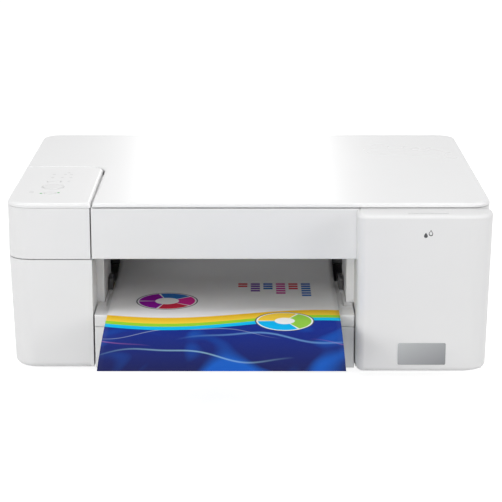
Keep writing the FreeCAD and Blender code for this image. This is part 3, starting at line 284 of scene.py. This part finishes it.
casing_colour = (0.80, 0.80, 0.802, 1)
casing_plastic = moulded("satin_white_abs", casing_colour, 0.42, 0.0006, 0.00003)
refined("lower_casing", casing_plastic)

# ---------------------------------------------------------------- feet, screws and middle cover
# Four black rubber feet are pressed into the floor of the casing. The middle cover is a grey moulding
# that six cross-head screws hold over the mechanism, with the window through which the carriage shows.
foot_rubber = moulded("matt_black_rubber", (0.018, 0.018, 0.019, 1), 0.78, 0.0009, 0.00008, cloud=0.2)
refined("rubber_feet", foot_rubber)
grey_plastic = moulded("grey_abs", (0.30, 0.30, 0.31, 1), 0.5, 0.0008, 0.00005)
dress(grey_plastic, "middle_cover")


def drawn_steel(name, colour, roughness, run):
    """Bare steel with fine drawing lines along one axis."""
    material, tree = blank_material(name)
    stretch = [1.0, 1.0, 1.0]
    stretch[run] = 0.02
    lines = noise(tree, 0.0007, 3.0, stretch)
    tone = mix_colour(tree, noise(tree, 0.03), shade(colour, 0.9), shade(colour, 1.08))
    inputs = {"Base Color": tone, "Metallic": 1.0,
              "Roughness": lines.span(0.3, 0.7, roughness - 0.08, roughness + 0.1).socket,
              "Normal": relief(tree, lines, 0.00002, 0.3, 0.0002)}
    add(tree, "OutputMaterial", {0: add(tree, "BsdfPrincipled", inputs).outputs[0]})
    return material


plated_screw = drawn_steel("plated_screw_steel", (0.46, 0.46, 0.47, 1), 0.3, 2)
dress(plated_screw, "casing_screws")

# ---------------------------------------------------------------- power inlet and rear cover
# The inlet is a black socket with two pins, snapped into the back wall. Beside it the grey rear cover
# swings down on its round lower edge to clear a jammed sheet; its ribs turn the paper.
black_plastic = moulded("black_abs", (0.014, 0.014, 0.015, 1), 0.46, 0.0008, 0.00005, cloud=0.15)
dress(black_plastic, "ac_inlet")
dress(grey_plastic, "jam_clear_cover")

# ---------------------------------------------------------------- print frame, rails and rollers
# Two zinc-plated side plates and a rear rail carry the rollers. The feed roller is a ground steel bar,
# the exit roller is a shaft in rubber sleeves, and a train of acetal gears joins them to the motor.
plate_steel = drawn_steel("zinc_plated_sheet", (0.50, 0.51, 0.53, 1), 0.36, 1)
dress(plate_steel, "print_frame", "star_wheels")
rail_steel = drawn_steel("rolled_rail_steel", (0.52, 0.53, 0.54, 1), 0.32, 0)
dress(rail_steel, "guide_rail_front", "guide_rail_rear", "main_feed_roller", "scan_rod", "hinge_pins")
acetal = moulded("natural_acetal", (0.70, 0.69, 0.64, 1), 0.38, 0.0007, 0.00002, edge=0.0002)
dress(acetal, "feed_gear", "idler_gear", "motor_pinion", "drive_pulley", "idler_pulley", "guide_pinion")
grey_rubber = moulded("grey_rubber", (0.065, 0.065, 0.068, 1), 0.72, 0.0009, 0.00008, cloud=0.1)
dress(grey_rubber, "exit_roller", "pinch_rollers", "pickup_roller", "head_cap")
dress(black_plastic, "platen", "pickup_arm")
motor_can = drawn_steel("motor_can_steel", (0.34, 0.34, 0.35, 1), 0.34, 2)
dress(motor_can, "feed_motor", "carriage_motor", "scan_motor")

# ---------------------------------------------------------------- print carriage and its drive
# The black carriage hangs between the rails and carries the print head. A toothed rubber belt pulls it,
# and it reads its place on a clear strip with fine lines.
dress(black_plastic, "print_carriage")
dress(motor_can, "print_head")


def toothed_belt():
    """Rubber belt with teeth across its run, one every two millimetres, with painted shade that makes the grooves
    between the teeth darker.
    """
    material, tree = blank_material("toothed_belt_rubber")
    waves = add(tree, "TexWave", {"Vector": object_place(tree), "Scale": 80.0}, bands_direction="X")
    ridges = Field(tree, waves.outputs["Fac"])
    # painted shade: the colour follows the teeth's height and is darker in the grooves between them
    inputs = {"Base Color": mix_colour(tree, ridges, (0.012, 0.012, 0.012, 1), (0.03, 0.03, 0.03, 1)),
              "Roughness": 0.7, "Normal": relief(tree, ridges, 0.0005, 0.8)}
    add(tree, "OutputMaterial", {0: add(tree, "BsdfPrincipled", inputs).outputs[0]})
    return material


def ruled_film():
    """Clear film with fine dark lines across it."""
    material, tree = blank_material("ruled_clear_film")
    waves = add(tree, "TexWave", {"Vector": object_place(tree), "Scale": 260.0}, bands_direction="X")
    lines = Field(tree, waves.outputs["Fac"]).span(0.4, 0.6)
    inputs = {"Base Color": mix_colour(tree, lines, (0.05, 0.05, 0.05, 1), (0.62, 0.62, 0.60, 1)), "Roughness": 0.12}
    add(tree, "OutputMaterial", {0: add(tree, "BsdfPrincipled", inputs).outputs[0]})
    return material


dress(toothed_belt(), "carriage_belt")
dress(ruled_film(), "encoder_strip")

# ---------------------------------------------------------------- ink holder and cartridges
# Behind the ink cover a grey holder takes four cartridges side by side. Each cartridge is a blow-clean
# polypropylene shell in its ink's colour, with finger grooves on its front.
dress(grey_plastic, "ink_holder")
inks = {"black": (0.012, 0.012, 0.014, 1), "yellow": (0.84, 0.62, 0.02, 1), "cyan": (0.01, 0.30, 0.62, 1),
        "magenta": (0.62, 0.02, 0.22, 1)}
for ink, ink_colour in inks.items():
    dress(moulded(ink + "_ink_shell", ink_colour, 0.34, 0.001, 0.00003), "ink_cartridge_" + ink)

# ---------------------------------------------------------------- service station and electrics
# The service station under the carriage's parking place holds the rubber cap that seals the print head.
# A felt box soaks up waste ink. The main board stands on edge at the left, and the supply is in a black box.
dress(black_plastic, "maintenance_station", "waste_ink_box", "power_supply", "scan_carriage")


def solder_mask():
    """Green board lacquer over copper tracks that run square to each other, with bright solder pads."""
    material, tree = blank_material("green_solder_mask")
    cells = add(tree, "TexVoronoi", {"Vector": object_place(tree), "Scale": 260.0}, distance="MANHATTAN",
                feature="F1")
    tracks = Field(tree, cells.outputs["Distance"])
    pads = tracks.below(0.16, 0.02)
    lacquer = mix_colour(tree, tracks.below(0.55, 0.03), (0.008, 0.07, 0.03, 1), (0.02, 0.15, 0.06, 1))
    inputs = {"Base Color": mix_colour(tree, pads, lacquer, (0.62, 0.60, 0.56, 1)), "Metallic": (pads * 0.9).socket,
              "Roughness": 0.3, "Normal": relief(tree, tracks, 0.0001, 0.4)}
    add(tree, "OutputMaterial", {0: add(tree, "BsdfPrincipled", inputs).outputs[0]})
    return material


board_finish = solder_mask()
dress(board_finish, "main_board", "control_board")

# ---------------------------------------------------------------- scanner unit
# The upper half of the casing is a tub in the same satin white. A separate front plate closes it over
# the mouth, and a grey frame holds the glass, under which the black scan bar rides on a steel rod.
refined("scanner_base", casing_plastic)
refined("front_panel", casing_plastic)
pale_frame = moulded("pale_grey_abs", (0.52, 0.52, 0.53, 1), 0.5, 0.0008, 0.00004)
dress(pale_frame, "glass_frame")


def float_glass():
    """Clear float glass with a faint green body and traces of dust."""
    material, tree = blank_material("float_glass")
    dust = noise(tree, 0.004, 4.0).span(0.55, 0.85, 0.01, 0.06)
    inputs = {"Base Color": mix_colour(tree, noise(tree, 0.05), (0.84, 0.93, 0.90, 1), (0.88, 0.95, 0.92, 1)),
              "Transmission Weight": 1.0, "IOR": 1.52, "Roughness": dust.socket}
    add(tree, "OutputMaterial", {0: add(tree, "BsdfPrincipled", inputs).outputs[0]})
    return material


dress(float_glass(), "scanner_glass")

# ---------------------------------------------------------------- lid and its liner
# A thin glossier moulding over the glass, hinged at the back, with a rounded rim all round. Its liner is
# a white foam pad that presses the original flat.
lid_colour = (0.84, 0.84, 0.842, 1)
lid_plastic = moulded("smooth_white_abs", lid_colour, 0.30, 0.0007, 0.00001, edge=0)
refined("lid", lid_plastic)


def pressed_foam():
    """White closed-cell foam with a film face, a little pitted."""
    material, tree = blank_material("white_foam")
    pits = noise(tree, 0.0012, 4.0)
    inputs = {"Base Color": mix_colour(tree, pits, (0.74, 0.74, 0.72, 1), (0.84, 0.84, 0.83, 1)), "Roughness": 0.85,
              "Normal": relief(tree, pits, 0.0002, 0.6)}
    add(tree, "OutputMaterial", {0: add(tree, "BsdfPrincipled", inputs).outputs[0]})
    return material


dress(pressed_foam(), "lid_liner")

# ---------------------------------------------------------------- control panel, keys, lamps and signs
# The panel is the left part of the lid's plane, fixed on the scanner unit. Three white keys stand a
# little out of it, two green lamps shine through holes, and small grey signs are printed beside them.
refined("control_panel", lid_plastic)
key_plastic = moulded("white_key_cap", (0.80, 0.80, 0.80, 1), 0.38, 0.0006, 0.00002)
for key in ("start_button", "power_button", "mode_button"):
    refined(key, key_plastic)
panel_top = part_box("control_panel")[1].z
sign_lift = 0.03 * mm


def new_mesh(name, points, faces):
    mesh = bpy.data.meshes.new(name)
    mesh.from_pydata(np.asarray(points, float).reshape(-1, 3).tolist(), [], faces)
    mesh.validate()
    mesh.update()
    return mesh


def grid_faces(rows, columns, around=False):
    """Quads of a grid of points, rows by columns; around joins the last column to the first."""
    index = np.arange(rows * columns).reshape(rows, columns)
    right = np.roll(index, -1, axis=1)
    quads = np.stack([index[:-1], right[:-1], right[1:], index[1:]], axis=-1)
    quads = quads if around else quads[:, :-1]
    return quads.reshape(-1, 4).tolist()


def ring_part(centre, inner, outer, start, end, height, steps=24):
    """A flat part of a ring: angle along it by radius across it, at a height."""
    angle = np.linspace(math.radians(start), math.radians(end), steps)
    radius = np.array([inner, outer])[:, None]
    x = centre[0] + radius * np.cos(angle)
    y = centre[1] + radius * np.sin(angle)
    return np.stack([x, y, np.full_like(x, height)], axis=-1), grid_faces(2, steps)


def flat_bar(centre, width, depth, height):
    """A flat oblong at a height."""
    x, y = np.meshgrid([-width / 2, width / 2], [-depth / 2, depth / 2])
    return np.stack([centre[0] + x, centre[1] + y, np.full_like(x, height)], axis=-1), grid_faces(2, 2)


def joined(parts):
    """Several grids of points and their faces as one list of each."""
    points, faces, count = [], [], 0
    for part_points, part_faces in parts:
        flat = np.asarray(part_points).reshape(-1, 3)
        points.append(flat)
        faces += [[corner + count for corner in face] for face in part_faces]
        count += len(flat)
    return np.concatenate(points), faces


def printed_ink(name, colour, roughness=0.5):
    """A thin even layer of screen ink, a little open at its grain."""
    material, tree = blank_material(name)
    grain = noise(tree, 0.0004)
    inputs = {"Base Color": mix_colour(tree, grain, shade(colour, 0.9), shade(colour, 1.1)), "Roughness": roughness,
              "Normal": relief(tree, grain, 0.00001, 0.2)}
    add(tree, "OutputMaterial", {0: add(tree, "BsdfPrincipled", inputs).outputs[0]})
    return material


def lamp_lens():
    """A green lens that glows a little, unevenly."""
    material, tree = blank_material("green_lamp_lens")
    glowing = add(tree, "Emission", {"Color": (0.04, 0.60, 0.08, 1),
                                     "Strength": noise(tree, 0.002).span(0.2, 0.8, 0.16, 0.24).socket})
    gloss = add(tree, "BsdfPrincipled", {"Base Color": (0.02, 0.26, 0.04, 1), "Roughness": 0.4,
                                         "Specular IOR Level": 0.1})
    both = add(tree, "AddShader", {0: glowing.outputs[0], 1: gloss.outputs[0]})
    add(tree, "OutputMaterial", {0: both.outputs[0]})
    return material


grey_ink = printed_ink("grey_sign_ink", (0.33, 0.33, 0.34, 1))
pale_ink = printed_ink("pale_sign_ink", (0.52, 0.52, 0.52, 1))
sign_height = panel_top + sign_lift


def on_panel(x, y):
    """A place on the panel, from the printer's middle and its front, in millimetres."""
    return x * mm, front + y * mm


power_sign = on_panel(-198.9, 45.7)
power_radius = 1.9 * mm
line_width = 0.45 * mm
sign_parts = [
    ring_part(power_sign, power_radius - line_width, power_radius, 120, 420, sign_height),
    flat_bar((power_sign[0], power_sign[1] + 1.5 * mm), line_width, 2.0 * mm, sign_height),
]
keep("power_sign", new_mesh("power_sign", *joined(sign_parts)), "scanner_unit", grey_ink)

mark_places = [(-176.9, 92.1), (-169.4, 93.5), (-186.3, 110.3), (-177.3, 110.3), (-169.0, 110.3), (-186.3, 124.6),
               (-175.6, 124.1), (-169.6, 124.1), (-172.8, 132.1)]
mark_parts = []
for place in mark_places:
    x, y = on_panel(*place)
    mark_parts.append(ring_part((x, y), 0.9 * mm, 1.3 * mm, 0, 360, sign_height, 20))
    mark_parts.append(flat_bar((x, y), 1.1 * mm, 0.3 * mm, sign_height))
keep("panel_marks", new_mesh("panel_marks", *joined(mark_parts)), "scanner_unit", pale_ink)


def key_ring(name, node, gap, width):
    """A thin printed ring round a key."""
    low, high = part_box(node)
    centre = ((low.x + high.x) / 2, (low.y + high.y) / 2)
    inner = (high.x - low.x) / 2 + gap
    part = ring_part(centre, inner, inner + width, 0, 360, sign_height, 64)
    return keep(name, new_mesh(name, *part), "scanner_unit", pale_ink)


key_ring("start_key_ring", "start_button", 0.9 * mm, 0.35 * mm)


def dome(centre, radius, height, base):
    """A shallow dome: rings from its rim to its top, lifted by the cosine of their share."""
    share = np.linspace(1, 0.02, 6)[:, None]
    angle = np.linspace(0, 2 * math.pi, 20, endpoint=False)
    x = centre[0] + radius * share * np.cos(angle)
    y = centre[1] + radius * share * np.sin(angle)
    z = base + height * np.cos(share * math.pi / 2) + 0 * x
    faces = grid_faces(6, 20, around=True)
    return np.stack([x, y, z], axis=-1), faces + [list(range(100, 120))]


green_lens = lamp_lens()
for name, place in (("ready_lamp", (-189.7, 40.2)), ("power_lamp", (-174.0, 42.8))):
    lens = new_mesh(name, *dome(on_panel(*place), 1.35 * mm, 0.3 * mm, panel_top + 0.02 * mm))
    keep(name, lens, "scanner_unit", green_lens)

# ---------------------------------------------------------------- ink cover
# A tall white door at the right front corner that swings down on two pins at its foot. A silver plate is
# stuck low on it, and a sign of two ink drops is printed at its top.
refined("ink_cover", casing_plastic)
door_low, door_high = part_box("ink_cover")
door_front = front - 27.0 * mm
door_lean = 3.0 * mm


def door_face(x, z, lift):
    """A point in front of the door's face, which leans back towards its foot."""
    share = (door_high.z - z) / (door_high.z - door_low.z)
    return np.stack([x, door_front + door_lean * share - lift, z], axis=-1)


def drop_line(size, turns):
    """A drop's outline by the angle round it: as wide as a sine, drawn out to a point at the top."""
    across = 0.5 * size[0] * 1.30 * np.sin(turns) * np.sin(turns / 2) ** 1.3
    up = 0.5 * size[1] * np.cos(turns)
    return across, up


def drop(centre, size, inner):
    """A drop, filled where inner is 0 and an outline where it is a share of the size."""
    turns = np.linspace(0, 2 * math.pi, 41)[:-1]
    across, up = drop_line(size, turns)
    shares = np.array([max(inner, 0.02), 1.0])[:, None]
    x = centre[0] + shares * across
    z = centre[1] + shares * up
    faces = grid_faces(2, 40, around=True) + ([list(range(39, -1, -1))] if inner == 0 else [])
    return door_face(x, z, sign_lift), faces


drops = [drop((156.0 * mm, 136.0 * mm), (3.6 * mm, 4.8 * mm), 0),
         drop((160.4 * mm, 138.0 * mm), (4.0 * mm, 5.6 * mm), 0.68)]
keep("ink_drops_sign", new_mesh("ink_drops_sign", *joined(drops)), "ink_cover",
     printed_ink("dark_sign_ink", (0.06, 0.06, 0.065, 1)))


def silver_foil():
    """A satin silver label face, brushed along its length, with a painted reflection that makes its colour paler
    towards its upper left.
    """
    material, tree = blank_material("silver_label")
    place = add(tree, "SeparateXYZ", {0: object_place(tree)})
    across = Field(tree, place.outputs[0]).span(0.133, 0.177)
    up = Field(tree, place.outputs[2]).span(0.015, 0.037)
    brushed = noise(tree, 0.0006, 2.0, (0.03, 1, 1))
    # painted reflection: the label's colour runs from dark at its lower right to pale at its upper left
    tone = (across * -0.5 + up * 0.5).span(-0.5, 0.5)
    inputs = {"Base Color": mix_colour(tree, tone, (0.20, 0.205, 0.215, 1), (0.40, 0.41, 0.42, 1)), "Metallic": 0.5,
              "Roughness": brushed.span(0.3, 0.7, 0.34, 0.44).socket, "Normal": relief(tree, brushed, 0.00001, 0.3)}
    add(tree, "OutputMaterial", {0: add(tree, "BsdfPrincipled", inputs).outputs[0]})
    return material


def rounded_plate(low, high, corner, swell, steps=8):
    """A plate's face as rings of a rounded oblong, raised most inside its rim."""
    angle = np.linspace(0, 2 * math.pi, 4 * steps, endpoint=False) + math.pi / (4 * steps)
    cos, sin = np.cos(angle), np.sin(angle)
    half = (np.array(high) - np.array(low)) / 2
    centre = (np.array(high) + np.array(low)) / 2
    x = np.sign(cos) * (half[0] - corner) + corner * cos
    z = np.sign(sin) * (half[1] - corner) + corner * sin
    shares = np.array([1.0, 1.0, 0.985, 0.95, 0.5, 0.02])[:, None]
    lifts = np.array([0.0, 0.6, 0.92, 1.0, 1.0, 1.0])[:, None] * swell
    points = door_face(centre[0] + shares * x, centre[1] + shares * z, lifts)
    count = 4 * steps
    return points, grid_faces(6, count, around=True) + [list(range(6 * count - 1, 5 * count - 1, -1))]


label = rounded_plate((133.5 * mm, 15.8 * mm), (176.3 * mm, 36.2 * mm), 1.2 * mm, 0.35 * mm)
keep("silver_label", new_mesh("silver_label", *label), "ink_cover", silver_foil())

# ---------------------------------------------------------------- paper tray
# The tray slides out from under the mouth. A flat cover closes its front half and catches the prints: two
# dark hooks hold its back corners. Guides keep the stack square over a cork pad under the pickup roller.
refined("paper_tray", casing_plastic)
refined("tray_cover", casing_plastic)
dress(grey_plastic, "width_guide_left", "width_guide_right", "length_guide")
tray_low, tray_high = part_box("tray_cover")


def side_plate(outline, left, right):
    """A closed outline of depth and height, filled on both sides, between two places across."""
    outline = np.asarray(outline)
    count = len(outline)
    across = np.repeat([left, right], count)
    points = np.stack([across, np.tile(outline[:, 0], 2), np.tile(outline[:, 1], 2)], axis=-1)
    rim = grid_faces(2, count, around=True)
    return points, rim + [list(range(count - 1, -1, -1)), list(range(count, 2 * count))]


def arc(centre, radius, start, end, steps=7):
    """Points on an arc, by the angle from its start to its end."""
    angle = np.radians(np.linspace(start, end, steps))
    return [(centre[0] + radius * math.cos(turn), centre[1] + radius * math.sin(turn)) for turn in angle]


hook_front = front + 87.0 * mm
hook_foot = tray_high.z - 0.2 * mm
hook_width = 4.2 * mm
wall_clear = 7.3 * mm   # from the tray cover's wide front to the hooks' outer faces
hook_line = [(hook_front, hook_foot)]
hook_line += arc((hook_front + 3.0 * mm, hook_foot + 9.2 * mm), 3.0 * mm, 180, 90)
hook_line += arc((hook_front + 14.0 * mm, hook_foot + 9.2 * mm), 3.0 * mm, 90, 0)
hook_line += [(hook_front + 17.0 * mm, hook_foot + 5.0 * mm), (hook_front + 24.0 * mm, hook_foot)]
hook_plastic = moulded("charcoal_acetal", (0.060, 0.060, 0.062, 1), 0.55, 0.0008, 0.00004, cloud=0.1)
for name, left in (("tray_hook_left", tray_low.x + wall_clear - hook_width / 4),
                   ("tray_hook_right", tray_high.x - wall_clear - 0.75 * hook_width)):
    hook = keep(name, new_mesh(name, *side_plate(hook_line, left, left + hook_width)), "paper_tray",
                hook_plastic)
    eased = hook.modifiers.new("eased_edges", "BEVEL")
    eased.width = 0.5 * mm
    eased.segments = 2


def pressed_cork():
    """Pressed cork: light and dark crumbs a millimetre across."""
    material, tree = blank_material("pressed_cork")
    crumbs = add(tree, "TexVoronoi", {"Vector": object_place(tree), "Scale": 900.0})
    spots = Field(tree, crumbs.outputs["Distance"])
    inputs = {"Base Color": mix_colour(tree, spots, (0.16, 0.085, 0.04, 1), (0.42, 0.27, 0.15, 1)), "Roughness": 0.9,
              "Normal": relief(tree, spots, 0.0003, 0.6)}
    add(tree, "OutputMaterial", {0: add(tree, "BsdfPrincipled", inputs).outputs[0]})
    return material


roller_low, roller_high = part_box("pickup_roller")
pad_middle = ((roller_low.x + roller_high.x) / 2, (roller_low.y + roller_high.y) / 2)
tray_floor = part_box("paper_tray")[0].z + 6.3 * mm
pad_line = [(pad_middle[1] - 11 * mm, tray_floor - 0.1 * mm), (pad_middle[1] + 11 * mm, tray_floor - 0.1 * mm),
            (pad_middle[1] + 10.6 * mm, tray_floor + 0.8 * mm), (pad_middle[1] - 10.6 * mm, tray_floor + 0.8 * mm)]
pad = side_plate(pad_line, pad_middle[0] - 13 * mm, pad_middle[0] + 13 * mm)
keep("cork_pad", new_mesh("cork_pad", *pad), "paper_tray", pressed_cork())

# ---------------------------------------------------------------- printed sheet
# One sheet of plain A4, printed with a bright page of charts over a deep blue foot. It lies on the tray's
# cover, droops in front of it and rises to the exit rollers.
sheet_low, sheet_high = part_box("printed_sheet")
front_bend = 536.0 * mm
back_bend = 197.0 * mm
sheet_rest = 56.15 * mm
flat_front = front
flat_back = front + 110.0 * mm


def sheet_height(y):
    """The sheet's height along its length: an arc down in front, flat, then an arc up to the rollers."""
    ahead = np.maximum(flat_front - y, 0)
    behind = np.maximum(y - flat_back, 0)
    fall = front_bend - np.sqrt(front_bend ** 2 - ahead ** 2)
    rise = back_bend - np.sqrt(back_bend ** 2 - behind ** 2)
    return sheet_rest - fall + rise


sheet_rows, sheet_columns = 120, 41
sheet_y = np.linspace(sheet_low.y, sheet_high.y, sheet_rows)
sheet_z = sheet_height(sheet_y)
steps = np.hypot(np.diff(sheet_y), np.diff(sheet_z))
sheet_run = np.concatenate([[0], np.cumsum(steps)])
across, along = np.meshgrid(np.linspace(0, 1, sheet_columns), np.arange(sheet_rows))
sheet_x = sheet_low.x + across * (sheet_high.x - sheet_low.x)
sheet_points = np.stack([sheet_x, sheet_y[along], sheet_z[along]], axis=-1)
sheet_mesh = new_mesh("printed_page", sheet_points, grid_faces(sheet_rows, sheet_columns))
page_map = sheet_mesh.uv_layers.new(name="page")
corner_points = np.zeros(len(sheet_mesh.loops), int)
sheet_mesh.loops.foreach_get("vertex_index", corner_points)
page_places = np.stack([across.ravel(), (sheet_run / sheet_run[-1])[along.ravel()]], axis=-1)
page_map.data.foreach_set("uv", page_places[corner_points].ravel())
sheet_mesh.shade_smooth()


def printed_paper():
    """Plain white paper with a page of charts: a blue foot, sweeping bands, rings and rows of tiles."""
    material, tree = blank_material("printed_paper")
    place = add(tree, "UVMap", uv_map="page")
    split = add(tree, "SeparateXYZ", {0: place.outputs[0]})
    u = Field(tree, split.outputs[0])
    v = Field(tree, split.outputs[1])
    x = u * 210.0
    y = v * 297.0
    page = add(tree, "RGB").outputs[0]
    page.default_value = (0.86, 0.86, 0.87, 1)

    def paint_over(colour, mask):
        nonlocal page
        page = mix_colour(tree, mask, page, colour)

    # chart tiles in rows, whose count changes from column to column
    for column, (count, tile) in enumerate(((2, (0.62, 0.02, 0.05, 1)), (4, (0.16, 0.03, 0.36, 1)),
                                            (3, (0.02, 0.13, 0.50, 1)), (5, (0.50, 0.02, 0.28, 1)),
                                            (3, (0.62, 0.02, 0.05, 1)), (6, (0.02, 0.13, 0.50, 1)))):
        for row in range(count):
            middle_x, middle_y = 122.0 + 12.0 * column, 228.0 - 8.0 * row
            away = abs(x - middle_x).math("MAXIMUM", abs(y - middle_y) * 1.6)
            paint_over(tile, away.below(4.4, 0.3))

    def ring_chart(centre, inner, outer, colours):
        """A round chart with a hole, in equal parts, over a thin dark rim."""
        dx, dy = x - centre[0], y - centre[1]
        away = (dx * dx + dy * dy).math("SQRT")
        turn = dy.math("ARCTAN2", dx) / (2 * math.pi) + 0.5
        hole = away.below(inner, 0.4)
        paint_over((0.05, 0.06, 0.09, 1), away.below(outer + 2.6, 0.3))
        paint_over((0.86, 0.86, 0.87, 1), away.below(outer + 1.4, 0.3))
        for index, colour in enumerate(colours):
            start, end = index / len(colours) + 0.006, (index + 1) / len(colours) - 0.006
            inside = turn.below(end, 0.002) * (turn.below(start, 0.002) * -1.0 + 1.0)
            paint_over(colour, inside * away.below(outer, 0.4) * (hole * -1.0 + 1.0))

    # the sweep of bands over the blue foot
    wave = ((x * 0.021 + 3.6).math("SINE")) * 17.0 + 104.0
    bend = ((x * 0.013 + 1.0).math("SINE")) * 6.0
    level = y - wave - bend
    paint_over((0.86, 0.52, 0.02, 1), level.below(20.0, 0.5))
    paint_over((0.92, 0.62, 0.05, 1), level.below(11.0, 5.0))
    paint_over((0.30, 0.66, 0.03, 1), level.below(3.0, 0.5))
    paint_over((0.0, 0.50, 0.88, 1), level.below(-5.0, 0.5))
    depth = y.span(0.0, 95.0)
    foot = mix_colour(tree, depth, (0.003, 0.006, 0.075, 1), (0.006, 0.026, 0.27, 1))
    cloud = add(tree, "TexNoise", {"Vector": place.outputs[0], "Scale": 3.2, "Detail": 1.0, "Distortion": 1.2})
    glow_mask = Field(tree, cloud.outputs["Fac"]).span(0.48, 0.72)
    foot = mix_colour(tree, glow_mask, foot, (0.004, 0.10, 0.50, 1))
    for shift, colour, width in ((0.0, (0.45, 0.80, 0.95, 1), 1.0), (1.9, (0.80, 0.25, 0.60, 1), 0.8),
                                 (3.7, (0.25, 0.55, 0.95, 1), 1.4), (5.0, (0.75, 0.88, 1.0, 1), 0.6)):
        path = (x * 0.034 + shift).math("SINE") * 12.0 + (x * 0.09 + shift * 2.0).math("SINE") * 3.0
        line = abs(y - path - (28.0 + 9.0 * shift)).below(0.0, width * 2.2)
        strength = (x * 0.02 + shift * 1.3).math("SINE").span(-0.2, 1.0)
        foot = mix_colour(tree, line * strength, foot, colour)
    paint_over(foot, level.below(-13.0, 0.5))
    ring_chart((52.0, 168.0), 11.0, 26.0, ((0.30, 0.0, 0.38, 1), (0.66, 0.02, 0.06, 1), (0.70, 0.02, 0.30, 1),
                                           (0.02, 0.16, 0.52, 1), (0.30, 0.0, 0.38, 1)))
    ring_chart((160.0, 104.0), 9.0, 24.0, ((0.0, 0.45, 0.86, 1), (0.28, 0.58, 0.06, 1), (0.88, 0.60, 0.05, 1)))
    fibres = noise(tree, 0.0005, 3.0)
    inputs = {"Base Color": page, "Roughness": fibres.span(0.3, 0.7, 0.50, 0.65).socket,
              "Specular IOR Level": 0.12, "Normal": relief(tree, fibres, 0.00003, 0.25)}
    add(tree, "OutputMaterial", {0: add(tree, "BsdfPrincipled", inputs).outputs[0]})
    return material


page_sheet = keep("printed_page", sheet_mesh, "printed_sheet", printed_paper())
thickness = page_sheet.modifiers.new("paper_thickness", "SOLIDIFY")
thickness.thickness = 0.11 * mm
thickness.offset = 0
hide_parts("printed_sheet")
